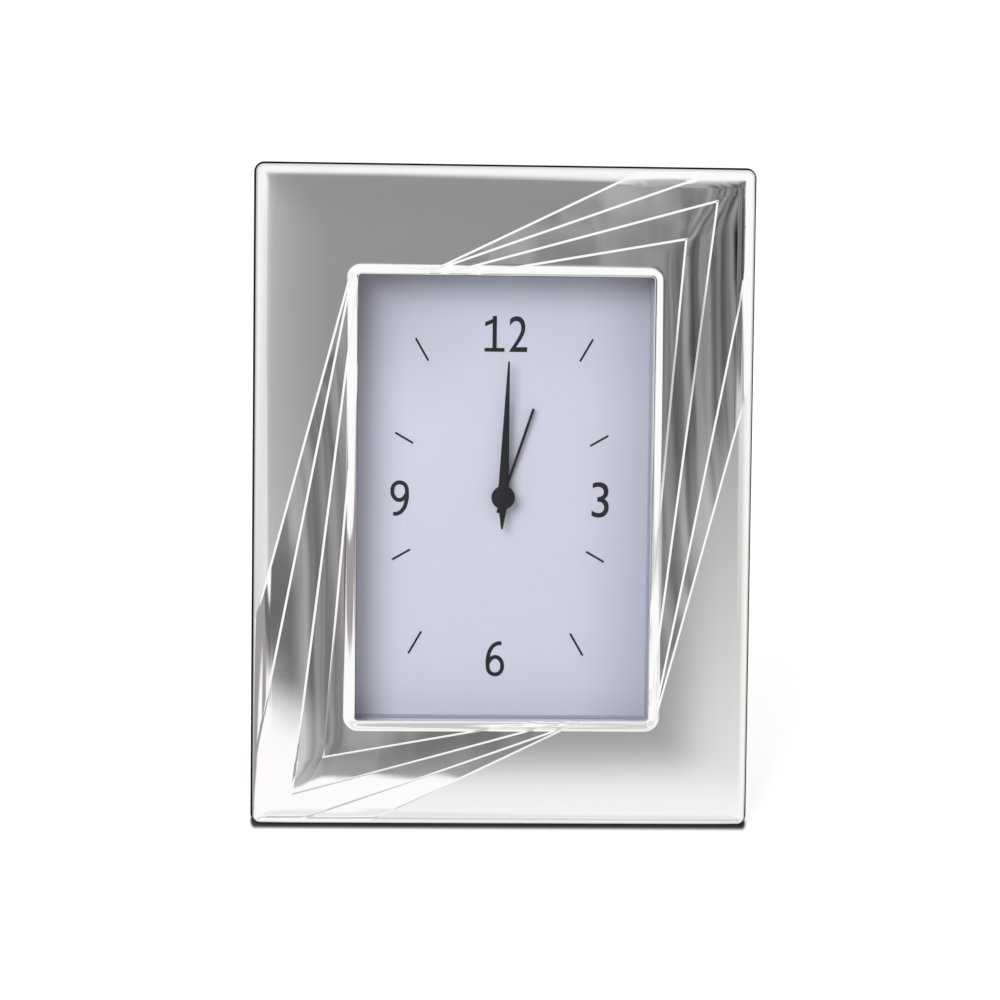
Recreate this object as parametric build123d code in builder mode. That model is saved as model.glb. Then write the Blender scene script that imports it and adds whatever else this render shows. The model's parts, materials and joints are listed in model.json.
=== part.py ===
from build123d import *
import math
import os

os.makedirs("parts", exist_ok=True)

# A table clock in a photograph frame: a stamped silver face over a black wooden frame, with a glass, a
# spacer, a dial and a quartz alarm movement, on a short easel leg. Sizes are in millimetres and degrees.
# The face leans back. Sketches lie on it: x to the right, y up the face, heights out towards the viewer,
# from the middle of the wooden frame's back.

# Wooden frame and stance
frame_width = 165.6
frame_height = 219.0
frame_corner = 3.4
flange_thick = 4.0
edge_show = 0.8
edge_soften = 0.6
lean = 14.0
land_depth = 3.4

# Silver face
sheet_thick = 0.6
roll_radius = 5.0
crown_radius = 150.0
crown_slope = 10.0
face_fit = 0.1
sight_width = 96.6
sight_height = 145.8
sight_corner = 1.1
bead_width = 3.0
bead_rise = 0.7
bead_round = 1.4
layer_rise = 0.45
riser_width = 0.8
riser_draw_share = 0.5

# What lies in the rabbet, from the back
panel_thick = 3.0
dial_thick = 1.0
spacer_depth = 6.0
glass_thick = 2.0
lip_thick = 0.9
glass_width = 100.0
glass_height = 150.0
glass_gap = 0.5
board_gap = 0.3
spacer_set_in = 0.25
lip_fit = 0.15
rabbet_corner = 0.8

# Turn buttons
button_length = 10.0
button_width = 8.0
button_thick = 0.8
button_beside = 7.0
button_up_share = 0.35
button_lift = 0.05
screw_radius = 1.4
screw_clearance = 0.08
screw_head_radius = 2.8
screw_head_height = 1.2
head_slope_share = 0.33
screw_bite = 7.0

# Easel leg and its hinge
leg_angle = 20.0
hinge_drop = 12.0
knuckle_radius = 2.4
pin_radius = 1.2
running_gap = 0.05
knuckle_gap = 0.2
knuckle_length = 10.0
knuckles = 3
leaf_thick = 0.8
panel_leaf_height = 10.0
leg_leaf_height = 18.0
leg_top_width = 44.0
leg_foot_width = 56.0
leg_lie_gap = 0.4
heel_height = 4.0
heel_gap = 0.1
leaf_screw_radius = 0.9
leaf_screw_head = 1.8
leaf_screw_head_height = 0.8
leaf_screw_bite = 2.2

# Movement case
case_size = 56.0
case_corner = 2.0
case_depth = 17.5
case_wall = 1.1
case_plate = 1.2
case_seam = 8.0
window_gap = 0.3
bush_radius = 3.2
bush_rise = 0.6
ear_reach = 6.5
ear_height = 11.0
ear_thick = 1.6
case_screw_radius = 1.0
case_screw_head = 2.0
case_screw_head_height = 1.0
case_screw_bite = 2.4

# Gear train: tooth counts, one tooth size, and where the arbors stand
case_modules = 140
cannon_teeth = 10
motion_teeth = 30
motion_leaves = 8
hour_teeth = 32
time_leaves = 10
alarm_teeth = 32
alarm_leaves = 26
centre_teeth = 45
third_teeth = 48
third_leaves = 6
seconds_teeth = 40
seconds_leaves = 6
step_teeth = 36
step_leaves = 8
rotor_leaves = 6
motion_direction = -20.0
time_direction = -15.0
alarm_direction = 200.0
third_direction = 90.0
seconds_direction = 160.0
step_direction = 250.0
rotor_direction = 200.0
wheel_thick = 0.6
wheel_gap = 0.2
leaf_margin = 0.2
train_gap = 0.6
arbor_radius = 0.5
stem_radius = 1.0
stud_radius = 0.6
pivot_depth = 0.4
pivot_room = 0.1
tooth_root_share = 0.50
tooth_tip_share = 0.16
tooth_height_share = 0.8
leaf_root_share = 0.40
leaf_tip_share = 0.26
leaf_height_share = 0.7
tooth_depth_share = 1.1

# Hands and the tubes that carry them
minute_tube = 1.35
tube_wall = 0.45
tube_gap = 0.05
hand_thick = 0.4
hand_space = 0.6
hand_angle = 1.8
alarm_hand_angle = 18.5
minute_reach = 44.9
minute_tail = 10.5
minute_root = 3.7
minute_tip = 0.6
minute_disc = 3.9
hour_reach = 32.0
hour_root = 3.2
hour_tip = 0.6
hour_tail = 6.5
alarm_reach = 30.9
alarm_width = 0.88
alarm_tail = 5.5
hand_hub_radius = 3.2

# Bridge, motor, board and sounder
bridge_thick = 0.8
bridge_right = 20.5
bridge_below_wall = 2.0
bridge_bottom = 9.4
post_radius = 1.6
post_edge = 0.2
post_left_share = 0.5576
post_right_share = 0.6506
post_right_up = -0.8
rotor_modules = 8.0
rotor_thick = 1.6
rotor_gap = 0.6
stator_thick = 0.8
stator_air_gap = 0.5
stator_rim_modules = 3.25
stator_neck = 2.4
coil_radius = 3.4
coil_over_rotor = 7.4
coil_below_wall = 5.9
coil_beside_wall = 4.5
board_low = 3.0
board_width = 13.0
board_height = 17.0
board_thick = 0.8
chip_size = 6.0
chip_height = 1.2
crystal_radius = 1.0
crystal_length = 6.0
sounder_up = 11.75
sounder_radius = 9.0
sounder_thick = 0.5
sounder_slots = 5
sounder_slot_width = 1.0

# Battery, its contacts and its door
battery_radius = 7.0
spring_reach = 2.9
nub_radius = 2.7
nub_length = 1.0
contact_thick = 0.4
contact_width = 8.0
battery_room = 0.4
rib_thick = 1.0
door_gap = 0.15
door_side = 26.0
tongue_width = 0.6
tongue_thick = 0.5
grip_ridges = 4
grip_ridge_height = 0.5

# Knobs and the alarm switch
knob_radius = 4.5
knob_height = 3.0
knob_gap = 0.5
knob_grips = 12
knob_grip_radius = 0.7
switch_travel = 4.0
switch_width = 3.0
switch_left = 6.2
switch_rise = 2.0
switch_depth = 2.0
switch_gap = 0.15
switch_flange = 1.5

overrun = 1.0

# Places that follow from the sizes above
lean_cos = math.cos(math.radians(lean))
lean_sin = math.sin(math.radians(lean))
silver_width = frame_width - 2 * edge_show
silver_height = frame_height - 2 * edge_show
silver_corner = frame_corner - edge_show
dial_back = panel_thick
dial_front = dial_back + dial_thick
glass_back = dial_front + spacer_depth
glass_front = glass_back + glass_thick
wood_top = glass_front + lip_thick
face_level = wood_top + face_fit + sheet_thick

# Four nested, twisted frames are pressed into the face, each one step higher than the last. A row gives
# the top right corner, where the top edge meets the bead and where the side edge meets it, as shares of
# the silver face's half width and half height. Each frame is the same after half a turn.
layer_shares = [
    ((1.304, 1.271), (-0.263, 0.695), (0.622, -0.662)),
    ((1.052, 1.049), (-0.251, 0.695), (0.622, -0.639)),
    ((0.839, 0.9025), (-0.202, 0.684), (0.610, -0.539)),
    ((0.713, 0.787), (-0.055, 0.684), (0.610, -0.179)),
]
tuck_share = 0.85

# The face plane stands so that the whole clock's box has its origin in the middle of its base
layers_at_base = 2
crown_drop = (crown_radius - roll_radius) * (1 - math.cos(math.radians(crown_slope)))
front_reach = (
    (face_level + layers_at_base * layer_rise - crown_drop - roll_radius) * lean_cos
    + (silver_height / 2 - roll_radius) * lean_sin
    + roll_radius
)
back_reach = (frame_height / 2 - edge_soften) * lean_sin
face = Plane(
    origin=(
        0,
        (front_reach - back_reach) / 2,
        frame_height / 2 * lean_cos - land_depth * lean_sin,
    ),
    x_dir=(1, 0, 0),
    z_dir=(0, -lean_cos, lean_sin),
)
outward = Axis(face.origin, face.z_dir)


def on(height):
    """The plane parallel to the face at a height above the wooden frame's back."""
    return face.offset(height)


def spot(place, height):
    """The same plane, with its origin over a place on the face."""
    return Plane(
        origin=face.from_local_coords((place[0], place[1], height)),
        x_dir=face.x_dir,
        z_dir=face.z_dir,
    )


def polar(start, distance, direction):
    """A place at a distance and direction from another."""
    angle = math.radians(direction)
    return (start[0] + distance * math.cos(angle), start[1] + distance * math.sin(angle))


def save(builder, name):
    """Labels a finished piece and writes it."""
    builder.part.label = name
    export_step(builder.part, f"parts/{name}.step")


# Silver face


def crowned_bar(across, half, inset, top, length):
    """A bar whose section falls from its flat middle over a crown to a rolled edge on both sides."""
    roll = roll_radius - inset
    crown = crown_radius - inset
    slope = math.radians(crown_slope)
    side = half - inset
    roll_height = top - crown + (crown - roll) * math.cos(slope)
    crown_start = side - roll - (crown - roll) * math.sin(slope)
    with BuildPart() as bar:
        with BuildSketch(across):
            with BuildLine():
                bottom = Line((0, flange_thick), (side, flange_thick))
                wall = Line(bottom @ 1, (side, roll_height))
                CenterArc((side - roll, roll_height), roll, 0, 90 - crown_slope)
                crowned = CenterArc((crown_start, top - crown), crown, 90 - crown_slope, crown_slope)
                flat = Line(crowned @ 1, (0, top))
                Line(flat @ 1, bottom @ 0)
            make_face()
            mirror(about=Plane.YZ)
        extrude(amount=length / 2, both=True)
    return bar.part


def cushion(inset, top):
    """The silver face's block: crowned both ways, rolled at the edge, drawn in all over by an inset."""
    across_width = Plane(origin=face.origin, x_dir=face.x_dir, z_dir=-face.y_dir)
    across_height = Plane(origin=face.origin, x_dir=face.y_dir, z_dir=face.x_dir)
    with BuildPart() as block:
        add(crowned_bar(across_width, silver_width / 2, inset, top, silver_height))
        add(crowned_bar(across_height, silver_height / 2, inset, top, silver_width), mode=Mode.INTERSECT)
        with BuildSketch(on(flange_thick)):
            RectangleRounded(silver_width - 2 * inset, silver_height - 2 * inset, silver_corner - inset)
        extrude(amount=top - flange_thick, mode=Mode.INTERSECT)
    return block.part


def layer_outline(number):
    """The corners of one twisted frame, out to the bead and tucked in behind it."""
    half_width = silver_width / 2
    half_height = silver_height / 2
    corner, top_end, side_end = layer_shares[number - 1]
    top_tuck = (top_end[0], top_end[1] * tuck_share)
    side_tuck = (side_end[0] * tuck_share, side_end[1])
    half = [top_tuck, top_end, corner, side_end, side_tuck]
    around = half + [(-x, -y) for x, y in half]
    return [(x * half_width, y * half_height) for x, y in around]


def layer_prism(number, inset, drop):
    """A twisted frame as a block with sloped risers, before the cushion trims it."""
    foot = face_level + (number - 1) * layer_rise - drop
    riser_angle = math.degrees(math.atan2(riser_width, layer_rise))
    draw_in = inset * riser_draw_share
    with BuildPart() as prism:
        with BuildSketch(on(flange_thick)):
            Polygon(*layer_outline(number), align=None)
            offset(amount=riser_width / 2 - draw_in, kind=Kind.INTERSECTION)
        extrude(amount=foot - flange_thick)
        with BuildSketch(on(foot)):
            Polygon(*layer_outline(number), align=None)
            offset(amount=riser_width / 2 - draw_in, kind=Kind.INTERSECTION)
        extrude(amount=layer_rise, taper=riser_angle)
    return prism.part


def raised_layer(number, inset, drop):
    """A twisted frame trimmed to a cushion of its own height, so that it dies away on the rolled edge."""
    with BuildPart() as layer:
        add(cushion(inset, face_level + number * layer_rise - drop))
        add(layer_prism(number, inset, drop), mode=Mode.INTERSECT)
    return layer.part


def bead(inset, drop):
    """The raised round bead about the sight opening."""
    top = face_level + len(layer_shares) * layer_rise + bead_rise - drop
    with BuildPart() as ring:
        with BuildSketch(on(flange_thick)):
            RectangleRounded(
                sight_width + 2 * (bead_width - inset),
                sight_height + 2 * (bead_width - inset),
                sight_corner + bead_width - inset,
            )
            RectangleRounded(
                sight_width + 2 * inset,
                sight_height + 2 * inset,
                sight_corner + inset,
                mode=Mode.SUBTRACT,
            )
        extrude(amount=top - flange_thick)
        fillet(ring.faces().sort_by(outward)[-1].edges(), bead_round - inset)
    return ring.part


def face_form(inset, drop):
    """The whole stamped form as a solid: cushion, four twisted frames and bead."""
    with BuildPart() as form:
        add(cushion(inset, face_level - drop))
        for number in range(1, len(layer_shares) + 1):
            add(raised_layer(number, inset, drop))
        add(bead(inset, drop))
    return form.part


with BuildPart() as face_hollow:
    add(face_form(sheet_thick, sheet_thick))
    with BuildSketch(on(glass_front)):
        RectangleRounded(
            sight_width + 2 * sheet_thick, sight_height + 2 * sheet_thick, sight_corner + sheet_thick
        )
    extrude(amount=face_level, mode=Mode.SUBTRACT)

with BuildPart() as silver_face:
    add(face_form(0, 0))
    add(face_hollow.part, mode=Mode.SUBTRACT)
    with BuildSketch(on(flange_thick)):
        RectangleRounded(sight_width, sight_height, sight_corner)
    extrude(amount=face_level + len(layer_shares) * layer_rise + overrun, mode=Mode.SUBTRACT)
save(silver_face, "silver_face")

# Wooden frame with its flange, rabbet, lip and planed lower edge
button_places = [
    (side * (glass_width / 2 + glass_gap + button_beside), up * glass_height * button_up_share)
    for side in (-1, 1)
    for up in (-1, 1)
]
lip_gap = sheet_thick + lip_fit
rabbet_width = glass_width + 2 * glass_gap
rabbet_height = glass_height + 2 * glass_gap

with BuildPart() as wood_frame:
    with BuildSketch(face):
        RectangleRounded(frame_width, frame_height, frame_corner)
    extrude(amount=flange_thick)
    chamfer(wood_frame.faces().sort_by(outward)[0].edges(), edge_soften)
    fillet(wood_frame.faces().sort_by(outward)[-1].edges(), edge_soften)
    add(cushion(sheet_thick + face_fit, wood_top))
    with BuildSketch(face):
        RectangleRounded(rabbet_width, rabbet_height, rabbet_corner)
    extrude(amount=glass_front, mode=Mode.SUBTRACT)
    with BuildSketch(on(glass_front)):
        RectangleRounded(sight_width + 2 * lip_gap, sight_height + 2 * lip_gap, sight_corner + lip_gap)
    extrude(amount=lip_thick, mode=Mode.SUBTRACT)
    with BuildSketch(face):
        with Locations(*button_places):
            Circle(screw_radius)
    extrude(amount=screw_bite, mode=Mode.SUBTRACT)
    split(bisect_by=Plane.XY, keep=Keep.TOP)
save(wood_frame, "wood_frame")

# Glass, spacer, dial and back panel
with BuildPart() as glass_pane:
    with BuildSketch(on(glass_back)):
        Rectangle(glass_width, glass_height)
    extrude(amount=glass_thick)
save(glass_pane, "glass_pane")

board_width_in = rabbet_width - 2 * board_gap
board_height_in = rabbet_height - 2 * board_gap

with BuildPart() as spacer_frame:
    with BuildSketch(on(dial_front)):
        RectangleRounded(board_width_in, board_height_in, rabbet_corner)
        Rectangle(sight_width - 2 * spacer_set_in, sight_height - 2 * spacer_set_in, mode=Mode.SUBTRACT)
    extrude(amount=spacer_depth)
save(spacer_frame, "spacer_frame")

with BuildPart() as dial_plate:
    with BuildSketch(on(dial_back)):
        RectangleRounded(board_width_in, board_height_in, rabbet_corner)
        Circle(bush_radius + window_gap, mode=Mode.SUBTRACT)
    extrude(amount=dial_thick)
save(dial_plate, "dial_plate")

case_half = case_size / 2
case_inner = case_half - case_wall
hinge_below = case_half + hinge_drop
ear_places = [(side * (case_half + ear_reach / 2), 0) for side in (-1, 1)]
leaf_screw_side = knuckle_length - leaf_screw_radius
panel_leaf_screws = [
    (side * leaf_screw_side, knuckle_radius + (panel_leaf_height - knuckle_radius) / 2 - hinge_below)
    for side in (-1, 1)
]

with BuildPart() as back_panel:
    with BuildSketch(face):
        RectangleRounded(board_width_in, board_height_in, rabbet_corner)
        RectangleRounded(
            case_size + 2 * window_gap, case_size + 2 * window_gap, case_corner, mode=Mode.SUBTRACT
        )
    extrude(amount=panel_thick)
    with BuildSketch(face):
        with Locations(*ear_places):
            Circle(case_screw_radius)
    extrude(amount=case_screw_bite, mode=Mode.SUBTRACT)
    with BuildSketch(face):
        with Locations(*panel_leaf_screws):
            Circle(leaf_screw_radius)
    extrude(amount=leaf_screw_bite, mode=Mode.SUBTRACT)
save(back_panel, "back_panel")


# Turn buttons that hold the panel in, and their screws


def turn_button(place):
    """A tab that turns on one screw, lying inwards over the panel's edge."""
    inward = -math.copysign(button_length / 2, place[0])
    with BuildPart() as tab:
        with BuildSketch(spot(place, -button_lift)):
            with Locations((inward, 0)):
                SlotCenterToCenter(button_length, button_width)
            Circle(screw_radius + screw_clearance, mode=Mode.SUBTRACT)
        extrude(amount=-button_thick)
    return tab


for count, place in enumerate(button_places, start=1):
    save(turn_button(place), f"turn_button_{count}")


def screws(places, radius, head_radius, head_height, seat, bite):
    """Round headed screws that point at the viewer, with their heads behind a seat."""
    with BuildPart() as group:
        with BuildSketch(on(seat - head_height)):
            with Locations(*places):
                Circle(head_radius)
        extrude(amount=head_height)
        back_rims = group.faces().filter_by(GeomType.PLANE).group_by(outward)[0].edges()
        chamfer(back_rims, head_height * head_slope_share)
        with BuildSketch(on(seat)):
            with Locations(*places):
                Circle(radius)
        extrude(amount=bite - seat)
    return group


button_seat = -(2 * button_lift + button_thick)
save(
    screws(button_places, screw_radius, screw_head_radius, screw_head_height, button_seat, screw_bite),
    "turn_button_screws",
)
save(
    screws(
        ear_places, case_screw_radius, case_screw_head, case_screw_head_height, -ear_thick, case_screw_bite
    ),
    "movement_screws",
)
save(
    screws(
        panel_leaf_screws,
        leaf_screw_radius,
        leaf_screw_head,
        leaf_screw_head_height,
        -leaf_thick,
        leaf_screw_bite,
    ),
    "panel_hinge_screws",
)

# Hinge: its barrel lies across the panel, and the leg swings about it
leg_cos = math.cos(math.radians(leg_angle))
leg_sin = math.sin(math.radians(leg_angle))
barrel_centre = face.from_local_coords((0, -hinge_below, -knuckle_radius))
leg_plane = Plane(origin=barrel_centre, x_dir=(1, 0, 0), z_dir=(0, -leg_cos, -leg_sin))
barrel_plane = Plane(origin=barrel_centre, x_dir=face.z_dir, z_dir=(1, 0, 0))
barrel_half = knuckles * knuckle_length / 2


def barrel(sections, bore):
    """Knuckles of the hinge barrel, each from one x to another."""
    with BuildPart() as knuckles:
        for low, high in sections:
            with BuildSketch(barrel_plane.offset(low)):
                Circle(knuckle_radius)
                Circle(bore, mode=Mode.SUBTRACT)
            extrude(amount=high - low)
    return knuckles.part


centre_section = [(-knuckle_length / 2, knuckle_length / 2)]
outer_sections = [
    (-barrel_half, -knuckle_length / 2 - knuckle_gap),
    (knuckle_length / 2 + knuckle_gap, barrel_half),
]

with BuildPart() as panel_hinge_leaf:
    with BuildSketch(spot((0, -hinge_below), 0)):
        with Locations((0, knuckle_radius + knuckle_gap)):
            Rectangle(
                2 * barrel_half,
                panel_leaf_height - knuckle_radius - knuckle_gap,
                align=(Align.CENTER, Align.MIN),
            )
        Rectangle(knuckle_length, panel_leaf_height, align=(Align.CENTER, Align.MIN))
    extrude(amount=-leaf_thick)
    with BuildSketch(face):
        with Locations(*panel_leaf_screws):
            Circle(leaf_screw_radius)
    extrude(amount=-leaf_thick, mode=Mode.SUBTRACT)
    add(barrel(centre_section, pin_radius))
    with BuildSketch(barrel_plane.offset(-knuckle_length / 2)):
        Circle(pin_radius)
    extrude(amount=knuckle_length, mode=Mode.SUBTRACT)
save(panel_hinge_leaf, "panel_hinge_leaf")

leg_front = knuckle_radius - leg_lie_gap
leg_back = leaf_thick - knuckle_radius
leg_leaf_screws = [(side * leaf_screw_side, -leg_leaf_height / 2 - knuckle_radius / 2) for side in (-1, 1)]

with BuildPart() as leg_hinge_leaf:
    with BuildSketch(leg_plane.offset(leg_back)):
        with Locations((0, -knuckle_radius - knuckle_gap)):
            Rectangle(
                2 * barrel_half,
                leg_leaf_height - knuckle_radius - knuckle_gap,
                align=(Align.CENTER, Align.MAX),
            )
        for low, high in outer_sections:
            with Locations(((low + high) / 2, 0)):
                Rectangle(high - low, leg_leaf_height / 2, align=(Align.CENTER, Align.MAX))
        with Locations(*leg_leaf_screws):
            Circle(leaf_screw_radius, mode=Mode.SUBTRACT)
    extrude(amount=-leaf_thick)
    add(barrel(outer_sections, pin_radius))
    with BuildSketch(barrel_plane.offset(-barrel_half)):
        Circle(pin_radius + running_gap)
    extrude(amount=2 * barrel_half, mode=Mode.SUBTRACT)
save(leg_hinge_leaf, "leg_hinge_leaf")

with BuildPart() as hinge_pin:
    with BuildSketch(barrel_plane.offset(-barrel_half - running_gap)):
        Circle(pin_radius)
    extrude(amount=2 * (barrel_half + running_gap))
save(hinge_pin, "hinge_pin")

leg_length = barrel_centre.Z / leg_cos
leg_draft = (leg_foot_width - leg_top_width) / 2 / leg_length

with BuildPart() as easel_leg:
    with BuildSketch(leg_plane.offset(leg_back)):
        low = -leg_length - leg_front
        Polygon(
            (leg_top_width / 2, heel_height),
            (-leg_top_width / 2, heel_height),
            (-leg_top_width / 2 + low * leg_draft, low),
            (leg_top_width / 2 - low * leg_draft, low),
            align=None,
        )
        with Locations((0, heel_height)):
            Rectangle(
                2 * (barrel_half + knuckle_gap),
                heel_height + knuckle_radius + leg_lie_gap,
                align=(Align.CENTER, Align.MAX),
                mode=Mode.SUBTRACT,
            )
    extrude(amount=leg_front - leg_back)
    with BuildSketch(leg_plane.offset(leg_back)):
        with Locations(*leg_leaf_screws):
            Circle(leaf_screw_radius)
    extrude(amount=leaf_screw_bite, mode=Mode.SUBTRACT)
    split(bisect_by=Plane.XY, keep=Keep.TOP)
    split(bisect_by=on(-heel_gap), keep=Keep.BOTTOM)
save(easel_leg, "easel_leg")

with BuildPart() as leg_hinge_screws:
    with BuildSketch(leg_plane.offset(leg_back - leaf_thick)):
        with Locations(*leg_leaf_screws):
            Circle(leaf_screw_head)
    extrude(amount=-leaf_screw_head_height)
    with BuildSketch(leg_plane.offset(leg_back - leaf_thick)):
        with Locations(*leg_leaf_screws):
            Circle(leaf_screw_radius)
    extrude(amount=leaf_thick + leaf_screw_bite)
save(leg_hinge_screws, "leg_hinge_screws")

# Sizes in the movement that follow from its case
gear_module = case_size / case_modules
bridge_top = case_inner - bridge_below_wall
rotor_radius = rotor_modules * gear_module
stator_rim = stator_rim_modules * gear_module

# Heights in the movement, from its front plate to its back
case_front = panel_thick
plate_inside = case_front - case_plate
case_back = case_front - case_depth
back_inside = case_back + case_plate
seam = case_front - case_seam
alarm_level = plate_inside - train_gap / 2
hour_level = alarm_level - wheel_thick - wheel_gap
motion_level = hour_level - wheel_thick - wheel_gap
centre_level = motion_level - wheel_thick - train_gap
third_level = centre_level - wheel_thick - train_gap
seconds_level = third_level - wheel_thick - train_gap
step_level = seconds_level - wheel_thick - train_gap
rotor_level = step_level - wheel_thick - rotor_gap
bridge_front = rotor_level - rotor_thick - rotor_gap
bridge_back = bridge_front - bridge_thick


def reach(teeth, leaves):
    """Distance between the arbors of a wheel and a pinion in mesh."""
    return (teeth + leaves) * gear_module / 2


train_reach = reach(third_teeth, seconds_leaves)
centre_module = 2 * train_reach / (centre_teeth + third_leaves)
centre_place = (0, 0)
motion_place = polar(centre_place, reach(motion_teeth, cannon_teeth), motion_direction)
time_place = polar(motion_place, reach(motion_teeth, time_leaves), time_direction)
alarm_place = polar(centre_place, reach(alarm_teeth, alarm_leaves), alarm_direction)
third_place = polar(centre_place, train_reach, third_direction)
seconds_place = polar(third_place, train_reach, seconds_direction)
step_place = polar(seconds_place, reach(seconds_teeth, step_leaves), step_direction)
rotor_place = polar(step_place, reach(step_teeth, rotor_leaves), rotor_direction)
bearing_places = [third_place, seconds_place, step_place, rotor_place]
stem_places = [time_place, alarm_place]


def meshed(direction, turn, teeth, other_teeth):
    """The turn that puts a gear in mesh with another one that lies in the opposite direction."""
    return direction + 180 + 180 / other_teeth + (direction - turn) * teeth / other_teeth


motion_turn = meshed(motion_direction, 0, cannon_teeth, motion_teeth)
hour_turn = meshed(motion_direction + 180, 0, motion_leaves, hour_teeth)
time_turn = meshed(time_direction, motion_turn, motion_teeth, time_leaves)
alarm_pinion_turn = meshed(alarm_direction, 0, alarm_teeth, alarm_leaves)
third_leaf_turn = meshed(third_direction, 0, centre_teeth, third_leaves)
seconds_leaf_turn = meshed(seconds_direction, 0, third_teeth, seconds_leaves)
step_leaf_turn = meshed(step_direction, 0, seconds_teeth, step_leaves)
rotor_leaf_turn = meshed(rotor_direction, 0, step_teeth, rotor_leaves)


def toothed(teeth, module, turn, root_share, tip_share, height_share):
    """The outline of a gear with straight sided teeth, one of them at the given turn."""
    pitch = 360 / teeth
    root = module * (teeth / 2 - tooth_depth_share)
    tip = module * (teeth / 2 + height_share)
    corners = []
    for tooth in range(teeth):
        middle = turn + tooth * pitch
        for radius, share in ((root, -root_share), (tip, -tip_share), (tip, tip_share), (root, root_share)):
            corners.append(polar((0, 0), radius, middle + share * pitch / 2))
    return corners


def wheel_outline(teeth, module=gear_module, turn=0):
    return toothed(teeth, module, turn, tooth_root_share, tooth_tip_share, tooth_height_share)


def pinion_outline(leaves, turn, module=gear_module):
    return toothed(leaves, module, turn, leaf_root_share, leaf_tip_share, leaf_height_share)


def train_wheel(place, level, teeth, module, leaves, leaf_turn, arbor_top):
    """A wheel and its pinion on an arbor that runs from the front plate to the bridge."""
    with BuildPart() as wheel:
        with BuildSketch(spot(place, level)):
            Polygon(*wheel_outline(teeth, module), align=None)
        extrude(amount=-wheel_thick)
        if leaves:
            leaf_module = centre_module if place == third_place else gear_module
            with BuildSketch(spot(place, level)):
                Polygon(*pinion_outline(leaves, leaf_turn, leaf_module), align=None)
            extrude(amount=train_gap + wheel_thick + leaf_margin)
        with BuildSketch(spot(place, bridge_back)):
            Circle(arbor_radius)
        extrude(amount=arbor_top - bridge_back)
    return wheel


arbor_top = plate_inside + pivot_depth
cannon_bore_depth = 2 * wheel_thick
save(
    train_wheel(
        centre_place,
        centre_level,
        centre_teeth,
        centre_module,
        0,
        0,
        motion_level - wheel_thick + cannon_bore_depth - pivot_room,
    ),
    "centre_wheel",
)
save(
    train_wheel(
        third_place, third_level, third_teeth, gear_module, third_leaves, third_leaf_turn, arbor_top
    ),
    "third_wheel",
)
save(
    train_wheel(
        seconds_place,
        seconds_level,
        seconds_teeth,
        gear_module,
        seconds_leaves,
        seconds_leaf_turn,
        arbor_top,
    ),
    "seconds_wheel",
)
save(
    train_wheel(
        step_place, step_level, step_teeth, gear_module, step_leaves, step_leaf_turn, arbor_top
    ),
    "step_wheel",
)

with BuildPart() as rotor:
    with BuildSketch(spot(rotor_place, rotor_level - rotor_thick)):
        Circle(rotor_radius)
    extrude(amount=rotor_thick)
    with BuildSketch(spot(rotor_place, rotor_level)):
        Polygon(*pinion_outline(rotor_leaves, rotor_leaf_turn), align=None)
    extrude(amount=rotor_gap + wheel_thick + leaf_margin)
    with BuildSketch(spot(rotor_place, bridge_back)):
        Circle(arbor_radius)
    extrude(amount=arbor_top - bridge_back)
save(rotor, "rotor")

# Motion work: cannon pinion, motion wheel and hour wheel, with the two setting pinions on their knobs
hour_bore = minute_tube + tube_gap
hour_tube = hour_bore + tube_wall
alarm_bore = hour_tube + tube_gap
alarm_tube = alarm_bore + tube_wall
case_bore = alarm_tube + tube_gap
alarm_hand_level = dial_front + bush_rise + hand_space
hour_hand_level = alarm_hand_level + hand_thick + hand_space
minute_hand_level = hour_hand_level + hand_thick + hand_space

with BuildPart() as cannon_pinion:
    with BuildSketch(spot(centre_place, motion_level - wheel_thick)):
        Polygon(*pinion_outline(cannon_teeth, 0), align=None)
    extrude(amount=wheel_thick + leaf_margin / 2)
    with BuildSketch(spot(centre_place, motion_level)):
        Circle(minute_tube)
    extrude(amount=minute_hand_level + hand_thick - motion_level)
    with BuildSketch(spot(centre_place, motion_level - wheel_thick)):
        Circle(arbor_radius + running_gap)
    extrude(amount=cannon_bore_depth, mode=Mode.SUBTRACT)
save(cannon_pinion, "cannon_pinion")

with BuildPart() as hour_wheel:
    with BuildSketch(spot(centre_place, hour_level)):
        Polygon(*wheel_outline(hour_teeth, turn=hour_turn), align=None)
    extrude(amount=-wheel_thick)
    with BuildSketch(spot(centre_place, hour_level)):
        Circle(hour_tube)
    extrude(amount=hour_hand_level + hand_thick - hour_level)
    with BuildSketch(spot(centre_place, hour_level - wheel_thick)):
        Circle(hour_bore)
    extrude(amount=hour_hand_level + hand_thick - hour_level + wheel_thick, mode=Mode.SUBTRACT)
save(hour_wheel, "hour_wheel")

with BuildPart() as alarm_wheel:
    with BuildSketch(spot(centre_place, alarm_level)):
        Polygon(*wheel_outline(alarm_teeth), align=None)
    extrude(amount=-wheel_thick)
    with BuildSketch(spot(centre_place, alarm_level)):
        Circle(alarm_tube)
    extrude(amount=alarm_hand_level + hand_thick - alarm_level)
    with BuildSketch(spot(centre_place, alarm_level - wheel_thick)):
        Circle(alarm_bore)
    extrude(amount=alarm_hand_level + hand_thick - alarm_level + wheel_thick, mode=Mode.SUBTRACT)
save(alarm_wheel, "alarm_wheel")

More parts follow.
